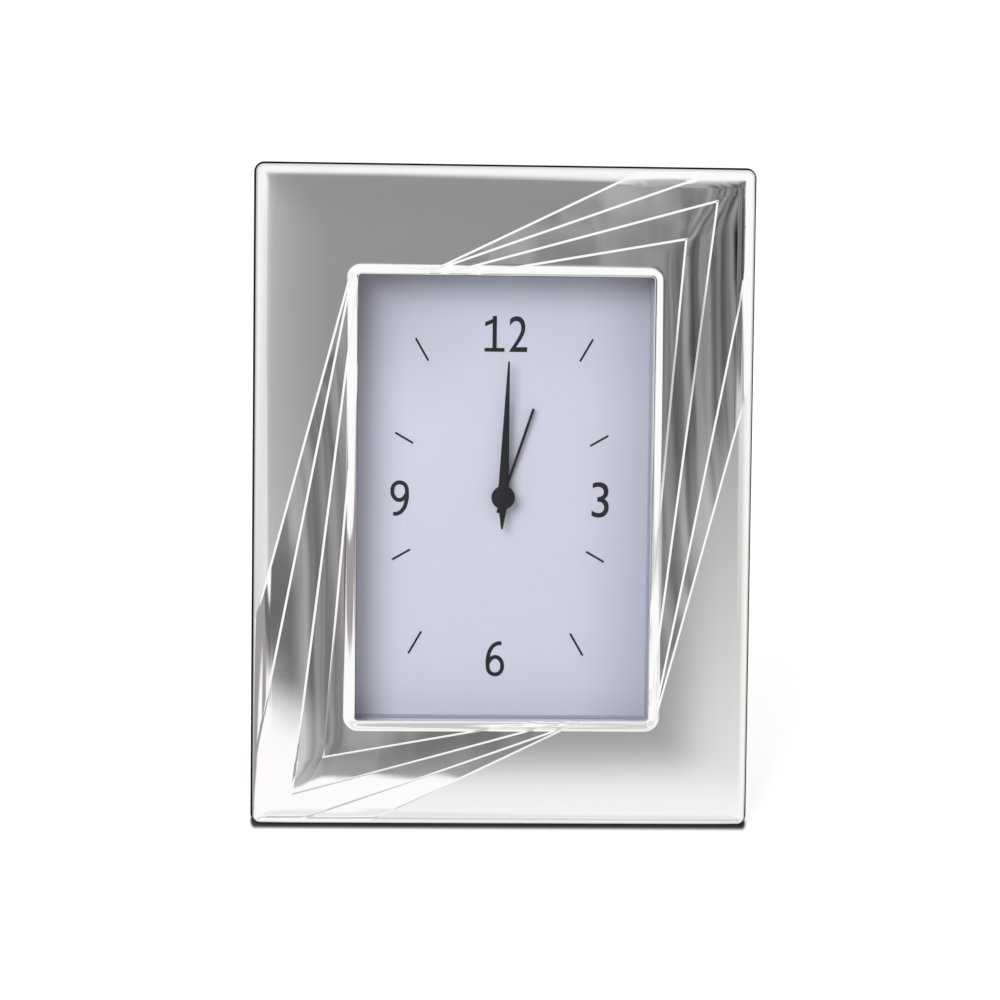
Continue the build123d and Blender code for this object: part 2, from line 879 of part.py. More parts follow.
with BuildPart() as motion_wheel:
    with BuildSketch(spot(motion_place, motion_level)):
        Polygon(*wheel_outline(motion_teeth, turn=motion_turn), align=None)
    extrude(amount=-wheel_thick)
    with BuildSketch(spot(motion_place, motion_level)):
        Polygon(*pinion_outline(motion_leaves, 0), align=None)
    extrude(amount=wheel_gap + wheel_thick + leaf_margin / 2)
    with BuildSketch(spot(motion_place, motion_level - wheel_thick)):
        Circle(stud_radius + running_gap)
    extrude(amount=2 * wheel_thick + wheel_gap + leaf_margin, mode=Mode.SUBTRACT)
save(motion_wheel, "motion_wheel")


def setting_knob(place, outline, level):
    """A knob behind the case on a stem that carries a setting pinion inside it."""
    knob_front = case_back - knob_gap
    with BuildPart() as knob:
        with BuildSketch(spot(place, level)):
            Polygon(*outline, align=None)
        extrude(amount=-wheel_thick)
        with BuildSketch(spot(place, knob_front)):
            Circle(stem_radius)
        extrude(amount=arbor_top - knob_front)
        with BuildSketch(spot(place, knob_front)):
            Circle(knob_radius)
            with PolarLocations(knob_radius, knob_grips):
                Circle(knob_grip_radius, mode=Mode.SUBTRACT)
        extrude(amount=-knob_height)
    return knob


time_leaf_outline = pinion_outline(time_leaves, time_turn)
alarm_leaf_outline = pinion_outline(alarm_leaves, alarm_pinion_turn)
save(setting_knob(time_place, time_leaf_outline, motion_level), "time_knob")
save(setting_knob(alarm_place, alarm_leaf_outline, alarm_level), "alarm_knob")

# Hands


def hand(reach_out, root, tip, tail, level, hub, tube, turn):
    """A tapered blade with a short tail on a round hub, turned clockwise from twelve."""
    with BuildPart() as blade:
        with BuildSketch(on(level)):
            with Locations(Rot(0, 0, -turn)):
                Polygon(
                    (-root / 2, 0),
                    (root / 2, 0),
                    (tip / 2, reach_out),
                    (-tip / 2, reach_out),
                    align=None,
                )
                Polygon((-root / 2, 0), (-tip / 2, -tail), (tip / 2, -tail), (root / 2, 0), align=None)
            Circle(hub)
            Circle(tube, mode=Mode.SUBTRACT)
        extrude(amount=hand_thick)
    return blade


save(
    hand(
        minute_reach,
        minute_root,
        minute_tip,
        minute_tail,
        minute_hand_level,
        minute_disc,
        minute_tube,
        hand_angle,
    ),
    "minute_hand",
)
save(
    hand(
        hour_reach, hour_root, hour_tip, hour_tail, hour_hand_level, hand_hub_radius, hour_tube, hand_angle
    ),
    "hour_hand",
)
save(
    hand(
        alarm_reach,
        alarm_width,
        alarm_width,
        alarm_tail,
        alarm_hand_level,
        hand_hub_radius,
        alarm_tube,
        alarm_hand_angle,
    ),
    "alarm_hand",
)

# Train bridge on four posts
coil_right = coil_beside_wall - case_inner
coil_low = rotor_place[1] + coil_over_rotor
coil_high = case_inner - coil_below_wall
coil_length = coil_high - coil_low
post_high = bridge_top - post_radius - post_edge
post_places = [
    (-case_inner * post_left_share, post_high),
    (case_inner * post_right_share, post_high),
    (window_gap + post_radius + post_edge - case_inner, post_radius + post_edge - bridge_bottom),
    (bridge_right - post_radius - post_edge, post_right_up),
]

with BuildPart() as train_bridge:
    with BuildSketch(on(bridge_back)):
        with Locations(((bridge_right - case_inner + window_gap) / 2, (bridge_top - bridge_bottom) / 2)):
            Rectangle(case_inner - window_gap + bridge_right, bridge_top + bridge_bottom)
        with Locations(centre_place, *bearing_places):
            Circle(arbor_radius + running_gap, mode=Mode.SUBTRACT)
        with Locations(*stem_places):
            Circle(stem_radius + window_gap, mode=Mode.SUBTRACT)
        with Locations((coil_right, (coil_low + coil_high) / 2)):
            Rectangle(
                2 * (coil_radius + window_gap), coil_length + 2 * window_gap, mode=Mode.SUBTRACT
            )
    extrude(amount=bridge_thick)
    with BuildSketch(on(bridge_front)):
        with Locations(*post_places):
            Circle(post_radius)
    extrude(amount=plate_inside - bridge_front)
save(train_bridge, "train_bridge")

# Stepping motor: stator plate round the rotor, and a coil on its neck
stator_front = rotor_level - (rotor_thick - stator_thick) / 2
stator_back = stator_front - stator_thick
pole_bore = rotor_radius + stator_air_gap

with BuildPart() as stator:
    with BuildSketch(on(stator_back)):
        with Locations(rotor_place):
            Circle(pole_bore + stator_rim)
        with Locations((coil_right, rotor_place[1])):
            Rectangle(stator_neck, coil_high + stator_rim - rotor_place[1], align=(Align.CENTER, Align.MIN))
        with Locations((coil_right, coil_high)):
            Rectangle(2 * coil_radius, 2 * stator_rim, align=(Align.CENTER, Align.MIN))
        with Locations(rotor_place):
            Circle(pole_bore, mode=Mode.SUBTRACT)
    extrude(amount=stator_thick)
save(stator, "stator")

coil_plane = Plane(
    origin=face.from_local_coords((coil_right, coil_low, (stator_front + stator_back) / 2)),
    x_dir=face.x_dir,
    z_dir=face.y_dir,
)

with BuildPart() as coil:
    with BuildSketch(coil_plane):
        Circle(coil_radius)
        Rectangle(stator_neck, stator_thick, mode=Mode.SUBTRACT)
    extrude(amount=coil_length)
save(coil, "coil")

# Circuit board with its chip and crystal, and the sounder on the back wall
board_right = case_inner - window_gap
board_front = step_level

with BuildPart() as circuit_board:
    with BuildSketch(on(board_front)):
        with Locations((board_right, board_low)):
            Rectangle(board_width, board_height, align=(Align.MAX, Align.MIN))
    extrude(amount=-board_thick)
    with BuildSketch(on(board_front)):
        with Locations((board_right - board_width / 2, board_low + board_height / 2)):
            Rectangle(chip_size, chip_size)
    extrude(amount=chip_height)
    with BuildSketch(on(board_front)):
        with Locations((board_right - board_width / 2, board_low + crystal_radius + board_thick)):
            Rectangle(crystal_length, 2 * crystal_radius)
    extrude(amount=2 * crystal_radius)
save(circuit_board, "circuit_board")

sounder_place = (0, sounder_up)

with BuildPart() as sounder:
    with BuildSketch(on(back_inside)):
        with Locations(sounder_place):
            Circle(sounder_radius)
    extrude(amount=sounder_thick)
save(sounder, "sounder")

# Battery and its two contacts
battery_middle = (plate_inside + back_inside) / 2
battery_low = -case_inner + battery_room / 2 + battery_radius + battery_room
battery_end = case_inner - contact_thick
battery_start = spring_reach - case_inner
battery_length = battery_end - nub_length - battery_start
battery_plane = Plane(
    origin=face.from_local_coords((battery_start, battery_low, battery_middle)),
    x_dir=face.y_dir,
    z_dir=face.x_dir,
)

with BuildPart() as battery:
    with BuildSketch(battery_plane):
        Circle(battery_radius)
    extrude(amount=battery_length)
    chamfer(battery.edges(), nub_length / 2)
    with BuildSketch(battery_plane.offset(battery_length)):
        Circle(nub_radius)
    extrude(amount=nub_length)
save(battery, "battery")

contact_plane = Plane(
    origin=face.from_local_coords((case_inner, battery_low, battery_middle)),
    x_dir=face.y_dir,
    z_dir=face.x_dir,
)

with BuildPart() as contact_plate:
    with BuildSketch(contact_plane):
        Rectangle(contact_width, contact_width)
    extrude(amount=-contact_thick)
save(contact_plate, "contact_plate")

leaf_plane = Plane(
    origin=face.from_local_coords((-case_inner, battery_low - contact_width / 2, battery_middle)),
    x_dir=face.x_dir,
    z_dir=-face.y_dir,
)

with BuildPart() as contact_spring:
    with BuildSketch(leaf_plane):
        with BuildLine():
            Polyline(
                (0, -contact_width / 2),
                (contact_thick, -contact_width / 2),
                (spring_reach, -contact_thick),
                (spring_reach, contact_thick),
                (contact_thick, contact_width / 2),
                (0, contact_width / 2),
                (0, contact_width / 2 - contact_thick),
                (spring_reach - contact_thick, 0),
                (0, contact_thick - contact_width / 2),
                close=True,
            )
        make_face()
    extrude(amount=-contact_width)
save(contact_spring, "contact_spring")

# Movement case: front shell with its bush and ears, back shell with the battery bay, and the door
with BuildPart() as movement_front:
    with BuildSketch(on(seam)):
        RectangleRounded(case_size, case_size, case_corner)
    extrude(amount=case_front - seam)
    with BuildSketch(on(seam)):
        RectangleRounded(2 * case_inner, 2 * case_inner, case_corner - case_wall)
    extrude(amount=plate_inside - seam, mode=Mode.SUBTRACT)
    with BuildSketch(on(case_front)):
        Circle(bush_radius)
    extrude(amount=dial_thick + bush_rise)
    with BuildSketch(on(plate_inside)):
        Circle(case_bore)
    extrude(amount=case_plate + dial_thick + bush_rise, mode=Mode.SUBTRACT)
    with BuildSketch(on(-ear_thick)):
        for side in (-1, 1):
            with Locations((side * (case_half - case_wall / 2), 0)):
                Rectangle(
                    ear_reach + case_wall / 2,
                    ear_height,
                    align=(Align.MIN if side > 0 else Align.MAX, Align.CENTER),
                )
        with Locations(*ear_places):
            Circle(case_screw_radius + running_gap, mode=Mode.SUBTRACT)
    extrude(amount=ear_thick)
    with BuildSketch(spot(motion_place, plate_inside)):
        Circle(stud_radius)
    extrude(amount=motion_level - wheel_thick - leaf_margin - plate_inside)
    with BuildSketch(on(plate_inside)):
        with Locations(*bearing_places):
            Circle(arbor_radius + running_gap)
        with Locations(*stem_places):
            Circle(stem_radius + running_gap)
    extrude(amount=pivot_depth + pivot_room, mode=Mode.SUBTRACT)
save(movement_front, "movement_front_case")

door_top = battery_low + battery_radius + battery_room
rib_front = plate_inside - wheel_gap
switch_height = (seam + back_inside) / 2
switch_slot_right = switch_left + switch_width + switch_travel
switch_slot_plane = Plane(
    origin=face.from_local_coords((0, case_half, switch_height)),
    x_dir=face.x_dir,
    z_dir=face.y_dir,
)

with BuildPart() as movement_back:
    with BuildSketch(on(case_back)):
        RectangleRounded(case_size, case_size, case_corner)
    extrude(amount=seam - case_back)
    with BuildSketch(on(back_inside)):
        RectangleRounded(2 * case_inner, 2 * case_inner, case_corner - case_wall)
    extrude(amount=seam - back_inside, mode=Mode.SUBTRACT)
    for rib_half, rib_top in ((case_inner + case_wall / 2, seam), (case_inner - window_gap, rib_front)):
        with BuildSketch(on(back_inside)):
            with Locations((0, door_top)):
                Rectangle(2 * rib_half, rib_thick, align=(Align.CENTER, Align.MIN))
        extrude(amount=rib_top - back_inside)
    with BuildSketch(on(case_back)):
        with Locations((0, -case_half)):
            Rectangle(
                2 * (door_side + door_gap),
                case_half + door_top,
                align=(Align.CENTER, Align.MIN),
            )
        with Locations(*stem_places):
            Circle(stem_radius + running_gap)
        with Locations(sounder_place):
            with GridLocations(0, 2 * sounder_slot_width, 1, sounder_slots):
                SlotOverall(sounder_radius, sounder_slot_width)
    extrude(amount=case_plate, mode=Mode.SUBTRACT)
    with BuildSketch(on((case_back + back_inside - tongue_thick) / 2 - door_gap)):
        with Locations((0, -case_half)):
            Rectangle(
                2 * (door_side + tongue_width + door_gap),
                case_half + door_top,
                align=(Align.CENTER, Align.MIN),
            )
    extrude(amount=tongue_thick + 2 * door_gap, mode=Mode.SUBTRACT)
    with BuildSketch(switch_slot_plane):
        with Locations(((switch_left + switch_slot_right) / 2, 0)):
            Rectangle(switch_slot_right - switch_left + 2 * switch_gap, switch_depth + 2 * switch_gap)
    extrude(amount=-case_wall, mode=Mode.SUBTRACT)
save(movement_back, "movement_back_case")

with BuildPart() as battery_door:
    with BuildSketch(on(case_back)):
        with Locations((0, -case_half)):
            Rectangle(2 * door_side, case_half + door_top - door_gap, align=(Align.CENTER, Align.MIN))
    extrude(amount=case_plate - door_gap)
    with BuildSketch(on((case_back + back_inside - tongue_thick) / 2)):
        with Locations((0, -case_half)):
            Rectangle(
                2 * (door_side + tongue_width),
                case_half + door_top - door_gap,
                align=(Align.CENTER, Align.MIN),
            )
    extrude(amount=tongue_thick)
    with BuildSketch(on(case_back)):
        with Locations((0, battery_low)):
            with GridLocations(0, 2 * rib_thick, 1, grip_ridges):
                Rectangle(2 * battery_radius, rib_thick)
    extrude(amount=-grip_ridge_height)
save(battery_door, "battery_door")

# Alarm switch: a nub above the case, a neck through the slot and a flange inside
switch_plane = Plane(
    origin=face.from_local_coords((switch_left, case_inner - switch_gap - switch_flange, switch_height)),
    x_dir=face.x_dir,
    z_dir=face.y_dir,
)

with BuildPart() as alarm_switch:
    with BuildSketch(switch_plane):
        with Locations((switch_width / 2, 0)):
            Rectangle(2 * switch_width, 2 * switch_depth)
    extrude(amount=switch_flange)
    with BuildSketch(switch_plane):
        with Locations((switch_width / 2, 0)):
            Rectangle(switch_width, switch_depth)
    extrude(amount=switch_flange + switch_gap + case_wall + switch_gap)
    with BuildSketch(switch_plane.offset(switch_flange + 2 * switch_gap + case_wall)):
        with Locations((switch_width / 2, 0)):
            Rectangle(switch_width, 2 * switch_depth)
    extrude(amount=switch_rise)
save(alarm_switch, "alarm_switch")
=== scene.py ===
import bpy
import json
import math
from mathutils import Euler, Matrix, Vector


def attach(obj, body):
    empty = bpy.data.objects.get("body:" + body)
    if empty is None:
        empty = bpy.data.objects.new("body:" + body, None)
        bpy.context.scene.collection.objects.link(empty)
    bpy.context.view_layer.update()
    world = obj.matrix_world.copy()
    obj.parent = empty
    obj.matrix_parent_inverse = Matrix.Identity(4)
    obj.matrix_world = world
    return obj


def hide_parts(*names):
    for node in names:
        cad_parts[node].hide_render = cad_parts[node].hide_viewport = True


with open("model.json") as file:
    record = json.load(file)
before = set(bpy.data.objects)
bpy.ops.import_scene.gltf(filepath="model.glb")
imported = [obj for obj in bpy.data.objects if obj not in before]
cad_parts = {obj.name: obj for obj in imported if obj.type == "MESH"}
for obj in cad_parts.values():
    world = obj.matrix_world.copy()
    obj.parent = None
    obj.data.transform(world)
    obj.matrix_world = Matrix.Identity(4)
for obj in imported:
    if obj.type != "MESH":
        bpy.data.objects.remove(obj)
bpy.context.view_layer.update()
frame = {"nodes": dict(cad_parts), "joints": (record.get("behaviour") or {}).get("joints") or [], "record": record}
mm = 0.001
hair = 0.001            # mm, less than any real step
print("loaded the frame")


# Everything on the face is modelled lying flat, x right, y up the face, z out to the viewer, and then
# stood up with this matrix. Its middle is the hub of the hands.
hub = next(joint for joint in frame["joints"] if joint["name"] == "minute_turn")
outwards = -Vector(hub["axis"])
toRight = Vector((1, 0, 0))
upFace = outwards.cross(toRight)
standUp = Matrix.Translation(hub["pos_m"]) @ Matrix((toRight, upFace, outwards)).transposed().to_4x4()


def heightsOf(name):
    # how far out from the hub each corner of a node lies
    node = frame["nodes"][name]
    toFace = standUp.inverted() @ node.matrix_world
    return [(toFace @ vertex.co).z for vertex in node.data.vertices]


backPlane = min(heightsOf("wood_frame"))


# Camera, as the photograph was taken
camera = {
    "lens": 100,
    "sensor": 36,
    "tilt": (3.65, 2.58, -0.51),       # degrees, seen from the face
    "face": (0.7, 1.3, -924.6),        # the face's middle seen from the camera, mm
}


def makeCamera():
    bpy.ops.object.camera_add()
    shot = bpy.context.object
    shot.name = "camera"
    shot.data.lens = camera["lens"]
    shot.data.sensor_width = camera["sensor"]
    turned = Euler([math.radians(angle) for angle in camera["tilt"]]).to_matrix().to_4x4()
    shot.matrix_world = standUp @ (Matrix.Translation(Vector(camera["face"]) * mm) @ turned).inverted()
    bpy.context.scene.camera = shot


makeCamera()
print("camera placed")


# Small helps for modelling by hand. Corners nearer to each other than this, in m, are made one.
nearness = {"cut": 0.000002, "print": 0.000002, "sheet": 0.000005, "copy": 0.000001, "shrunkCorner": 0.0006}


def deselect():
    if bpy.context.object and bpy.context.object.mode == "EDIT":
        bpy.ops.object.mode_set(mode="OBJECT")
    bpy.ops.object.select_all(action="DESELECT")


def select(piece):
    deselect()
    piece.select_set(True)
    bpy.context.view_layer.objects.active = piece


def editMode(piece, kind="FACE"):
    select(piece)
    bpy.ops.object.mode_set(mode="EDIT")
    bpy.ops.mesh.select_mode(type=kind)


def objectMode():
    bpy.ops.object.mode_set(mode="OBJECT")


def pickAll():
    bpy.ops.mesh.select_all(action="SELECT")


def pickNone():
    bpy.ops.mesh.select_all(action="DESELECT")


def pickFaces(piece, wanted):
    editMode(piece)
    pickNone()
    objectMode()
    for polygon in piece.data.polygons:
        polygon.select = wanted(polygon.center, polygon.normal)
    bpy.ops.object.mode_set(mode="EDIT")


def newRectangle(name, width, height, level, corner=0, steps=0):
    deselect()
    bpy.ops.mesh.primitive_plane_add(size=1)
    piece = bpy.context.object
    piece.name = name
    editMode(piece)
    pickAll()
    bpy.ops.transform.resize(value=(width * mm, height * mm, 1))
    bpy.ops.transform.translate(value=(0, 0, level * mm))
    if corner:
        bpy.ops.mesh.bevel(offset=corner * mm, segments=steps, affect="VERTICES")
    pickAll()
    return piece


def raiseTop(height):
    bpy.ops.mesh.extrude_region_move(TRANSFORM_OT_translate={"value": (0, 0, height * mm)})


def stepIn(distance, height):
    bpy.ops.mesh.inset(thickness=distance * mm, depth=0, use_boundary=True)
    bpy.ops.transform.translate(value=(0, 0, height * mm))


def cutAcross(spot, out):
    # one cut through the whole mesh at the spot, in m, square to this direction
    pickAll()
    bpy.ops.mesh.bisect(plane_co=(spot[0], spot[1], 0), plane_no=(out[0], out[1], 0), threshold=nearness["cut"])


def joinPieces(pieces):
    deselect()
    for piece in pieces:
        piece.select_set(True)
    bpy.context.view_layer.objects.active = pieces[0]
    bpy.ops.object.join()
    return pieces[0]


def finishPiece(piece, body, angle=30, stand=True):
    select(piece)
    if stand:
        piece.matrix_world = standUp @ piece.matrix_world
        bpy.ops.object.transform_apply(location=True, rotation=True, scale=True)
    bpy.ops.object.shade_smooth_by_angle(angle=math.radians(angle))
    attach(piece, body)


# Silver face, as pressed from one sheet: a crowned border rolled over at its edge, with four twisted frames,
# each a step above the last, and a round bead. Sizes in mm, heights out from the hub.
silver = {
    "width": 164.0,
    "height": 217.4,
    "corner": 2.6,
    "cornerSteps": 8,
    "level": 13.6,          # its flat middle
    "skirt": 4.0,           # where its wall ends
    "roll": 5.0,
    "rollRows": 9,          # rows over the roll to where its corners have shrunk to points
    "rollEnd": (67, 73.5, 80),      # and the rows after them, degrees round the roll
    "crown": 150.0,
    "slope": 10.0,          # of the crown at the roll, degrees
    "crownJoin": 3,         # how tightly the falls to the sides join at a corner
    "borderCuts": (5.2, 6.5),       # cuts round the border, in from the edge
    "crownCuts": 12,
    "rise": 0.48,
    "riser": 0.75,
    "riserShape": [(-0.5, 1.0), (0.14, 0.42), (0.5, 0.0)],      # out of the frame's line, how far up
    "sheet": 0.6,
    "fade": (0.5, 6.5),     # from the edge, where the steps begin and where they are whole
    "hole": 1.5,            # how much wider its hole is than the opening, to each side
    "smooth": 22,           # degrees
}

# The twisted frames' top right corner, and where their edges run under the bead, in mm from the middle
twistedFrames = [
    ((106.9, 138.2), (-21.6, 75.5), (51.0, -72.0)),
    ((86.3, 114.0), (-20.6, 75.5), (51.0, -69.5)),
    ((68.8, 98.1), (-16.6, 74.3), (50.0, -58.6)),
    ((58.5, 85.5), (-4.5, 74.3), (50.0, -19.5)),
]

bead = {
    "sight": (96.6, 145.8),
    "beside": (48.4, 73.2),
    "corner": 1.1,
    "cornerSteps": 14,
    "crest": 16.3,
    "least": 1.9,           # how far it rises where the frames stand highest
    "glass": 12.05,
    # distance in from its foot, and how far up it is there
    "section": [(0, 0), (0.3, 0.006), (0.6, 0.022), (0.9, 0.055), (1.2, 0.11), (1.6, 0.22), (2.0, 0.36), (2.4, 0.51),
                (2.8, 0.66), (3.2, 0.81), (3.5, 0.91), (3.8, 0.975), (4.0, 1.0), (4.15, 0.97), (4.2, 0.9)],
    "sink": 0.02,
    "polished": 0.93,       # where it slopes more than this, as the upward part of its normal
}


def frameSides(number):
    # a point on each of its four sides, with the direction that leads out of it
    corner, topEnd, sideEnd = (Vector(point) for point in twistedFrames[number])
    alongTop = (corner - topEnd).normalized()
    alongSide = (corner - sideEnd).normalized()
    top = Vector((-alongTop.y, alongTop.x))
    side = Vector((alongSide.y, -alongSide.x))
    return [(corner, top), (corner, side), (-corner, -top), (-corner, -side)]


def outOfFrame(number, spot):
    # how far the spot lies out of a twisted frame, below 0 inside it, in mm: to the left of the bead and to its
    # right the frame goes on up to the bead's crest at its corner
    place = Vector((spot.x, spot.y)) / mm
    besideX, besideY = bead["beside"]
    top, right, bottom, left = ((place - point).dot(out) for point, out in frameSides(number))
    top = min(top, max(place.x + besideX, place.y - besideY))
    bottom = min(bottom, max(besideX - place.x, -place.y - besideY))
    return max(top, right, bottom, left)


def between(value, points):
    # the value's place on a line through these points
    for (start, first), (stop, last) in zip(points, points[1:]):
        if value <= stop:
            return first + (last - first) * min(max((value - start) / (stop - start), 0), 1)
    return points[-1][1]


def stepsUp(spot):
    # how far the twisted frames lift a spot, in mm: they die away on the rolled edge
    start, whole = silver["fade"]
    edge = min(silver["width"] / 2 - abs(spot.x) / mm, silver["height"] / 2 - abs(spot.y) / mm)
    share = min(max((edge - start) / (whole - start), 0), 1)
    share = share * share * (3 - 2 * share)
    lifts = [between(outOfFrame(number, spot) / silver["riser"], silver["riserShape"])
             for number in range(len(twistedFrames))]
    return share * silver["rise"] * sum(lifts)


def riserCuts():
    # along the foot, the bend and the top of every riser, and level with the bead's corners
    across = Vector((0, bead["beside"][1]))
    lines = [side for number in range(len(twistedFrames)) for side in frameSides(number)]
    lines += [(across, Vector((0, 1))), (-across, Vector((0, -1)))]
    for point, out in lines:
        for shift, up in silver["riserShape"]:
            cutAcross((point + out * shift * silver["riser"]) * mm, out)


def squareCuts(halfWidth, halfHeight):
    for x, y in ((1, 0), (-1, 0), (0, 1), (0, -1)):
        cutAcross((x * halfWidth * mm, y * halfHeight * mm), (x, y))


def rollRows():
    # distance in from the edge and height of each row over the rolled edge
    roll, crown, level, rows = silver["roll"], silver["crown"], silver["level"], silver["rollRows"]
    slope = math.radians(silver["slope"])
    wallTop = level - crown + (crown - roll) * math.cos(slope)
    meet = math.acos(1 - silver["corner"] / roll)
    turns = [meet * count / rows for count in range(rows + 1)]
    turns += [math.radians(angle) for angle in silver["rollEnd"]]
    return [(roll * (1 - math.cos(turn)), wallTop + roll * math.sin(turn)) for turn in turns]


def crownReach():
    # how far in from the edge the crown ends and the flat middle begins
    return silver["roll"] + (silver["crown"] - silver["roll"]) * math.sin(math.radians(silver["slope"]))


def crownDrop(spot):
    # how far the crown falls below the flat middle: the falls to either side join in a round corner
    crown, join, reach = silver["crown"], silver["crownJoin"], crownReach()
    edge = reach - crown * math.sin(math.radians(silver["slope"]))
    falls = []
    for half, place in ((silver["width"] / 2, spot.x), (silver["height"] / 2, spot.y)):
        into = max(half - abs(place) / mm, edge)
        side = max(reach - into, 0)
        falls.append(crown - math.sqrt(crown * crown - side * side))
    return max(falls), sum(fall ** join for fall in falls) ** (1 / join)


def rollOver(sheet):
    # the sheet's wall and its rolled edge, row by row
    rows = rollRows()
    raiseTop(rows[0][1] - silver["skirt"])
    for (lastIn, lastUp), (nextIn, nextUp) in zip(rows, rows[1:]):
        stepIn(nextIn - lastIn, nextUp - lastUp)
        if abs(nextIn - silver["corner"]) < hair:
            # here the rounded corners have shrunk to points, which go on as mitres
            bpy.ops.mesh.remove_doubles(threshold=nearness["shrunkCorner"])
            objectMode()
            for vertex in sheet.data.vertices:
                if vertex.select:
                    vertex.co.x = math.copysign(silver["width"] / 2 - nextIn, vertex.co.x) * mm
                    vertex.co.y = math.copysign(silver["height"] / 2 - nextIn, vertex.co.y) * mm
            highest = (nextUp - hair) * mm
            pickFaces(sheet, lambda centre, normal: centre.z > highest and normal.z > 0.99)
    pickFaces(sheet, lambda centre, normal: normal.z < -0.5)
    bpy.ops.mesh.delete(type="FACE")
    return rows[-1][1]


def makeSilverSheet():
    sheet = newRectangle("silverFace", silver["width"], silver["height"], silver["skirt"],
                         silver["corner"], silver["cornerSteps"])
    flat = rollOver(sheet)

    # a grid of cuts over the crowned border, then the risers' lines
    slope = math.radians(silver["slope"])
    cuts = list(silver["borderCuts"])
    for count in range(1, silver["crownCuts"] + 1):
        cuts.append(crownReach() - silver["crown"] * math.sin(slope * (1 - count / silver["crownCuts"])))
    for into in cuts:
        squareCuts(silver["width"] / 2 - into, silver["height"] / 2 - into)
    riserCuts()
    holeX, holeY = (side / 2 + silver["hole"] for side in bead["sight"])
    squareCuts(holeX, holeY)
    pickFaces(sheet, lambda centre, normal: abs(centre.x) < holeX * mm and abs(centre.y) < holeY * mm)
    bpy.ops.mesh.delete(type="FACE")
    objectMode()
    for vertex in sheet.data.vertices:
        falls, rounded = crownDrop(vertex.co)
        if vertex.co.z > (flat - hair) * mm:
            vertex.co.z = (silver["level"] - rounded) * mm
        elif vertex.co.z > (silver["skirt"] + hair) * mm:
            vertex.co.z -= (rounded - falls) * mm

    # each twisted frame goes up a step
    for vertex in sheet.data.vertices:
        vertex.co.z += stepsUp(vertex.co) * mm
    editMode(sheet, "VERT")
    pickAll()
    bpy.ops.mesh.remove_doubles(threshold=nearness["sheet"])
    objectMode()
    return sheet


def makeBead():
    # a flat ring in rows, cut along the risers, which then gets its heights
    section = bead["section"]
    broad = section[-1][0]
    width, height = (side + 2 * broad for side in bead["sight"])
    corner = bead["corner"] + broad
    ring = newRectangle("silverBead", width, height, silver["level"], corner, bead["cornerSteps"])
    for (lastIn, lastUp), (nextIn, nextUp) in zip(section, section[1:]):
        stepIn(nextIn - lastIn, 0)
    bpy.ops.mesh.delete(type="FACE")
    riserCuts()
    objectMode()
    for vertex in ring.data.vertices:
        outX = abs(vertex.co.x) / mm - width / 2
        outY = abs(vertex.co.y) / mm - height / 2
        acrossX, acrossY = max(outX + corner, 0), max(outY + corner, 0)
        into = corner - math.hypot(acrossX, acrossY) if acrossX and acrossY else -max(outX, outY)
        ground = silver["level"] + stepsUp(vertex.co) - bead["sink"]
        rise = max(bead["crest"] - ground, bead["least"])
        vertex.co.z = (ground + rise * between(into, section)) * mm

    # walls down to the glass, and a floor between them
    editMode(ring, "EDGE")
    pickNone()
    bpy.ops.mesh.select_non_manifold()
    raiseTop(-silver["level"])
    objectMode()
    for vertex in ring.data.vertices:
        if vertex.select:
            vertex.co.z = bead["glass"] * mm
    editMode(ring, "EDGE")
    bpy.ops.mesh.bridge_edge_loops()
    pickAll()
    bpy.ops.mesh.normals_make_consistent(inside=False)
    objectMode()
    return ring


def makeSilverFace():
    # satin outside the largest twisted frame, polished inside it and on the bead's slopes
    sheet = makeSilverSheet()
    select(sheet)
    wall = sheet.modifiers.new("sheet", "SOLIDIFY")
    wall.thickness = silver["sheet"] * mm
    wall.offset = -1
    bpy.ops.object.modifier_apply(modifier=wall.name)
    ring = makeBead()
    for piece in (sheet, ring):
        piece.data.materials.append(finishes["satinSilver"])
        piece.data.materials.append(finishes["mirrorSilver"])
        for polygon in piece.data.polygons:
            slopes = piece == ring and polygon.normal.z < bead["polished"]
            if slopes or outOfFrame(0, polygon.center) < silver["riser"] / 2:
                polygon.material_index = 1
        finishPiece(piece, "case", silver["smooth"])
        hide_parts("silver_face")
        print(piece.name + ":", len(piece.data.polygons), "faces")


# Printed numerals and marks, mm from the hub
dialPrint = {
    "level": 4.0,
    "thickness": 0.04,
    "capHeight": 11.8,
    "figures": [("figureTwo", "2", (4.5, 53.9), 6.0), ("figureThree", "3", (32.4, -0.7), 5.7)],
    "rounds": [("figureSix", 0, (-2.0, -53.9), 6.2), ("figureNine", 180, (-34.1, -0.7), 6.2)],
    # the middle of a 6's stroke, from its top, as shares of its height
    "six": [(0.45, 0.945), (0.30, 0.925), (0.155, 0.80), (0.075, 0.60), (0.052, 0.34), (0.105, 0.13), (0.27, 0.052),
            (0.42, 0.12), (0.475, 0.29), (0.42, 0.47), (0.28, 0.55), (0.14, 0.49), (0.065, 0.37)],
    "stroke": 1.35,
    "strokeSteps": 6,
    "one": ("figureOne", (-3.3, 53.9), 6.6),
    "textSize": 0.01,       # m, before a figure is stretched to its size
    "textSteps": 16,
    # hour, where it starts and ends, and how far the card's print is off true there
    "marks": [
        (1, 51.5, 60.0, (-0.7, 0.5)), (2, 34.3, 41.2, (-0.9, 0.0)),
        (4, 34.3, 41.2, (-1.8, -0.8)), (5, 51.5, 60.0, (-2.8, -0.7)),
        (7, 51.5, 60.0, (-0.8, -0.3)), (8, 34.3, 41.2, (-0.8, -0.5)),
        (10, 34.3, 41.2, (-0.1, 0.4)), (11, 51.5, 60.0, (0.7, 0.2)),
    ],
    "markWidth": 0.7,
}

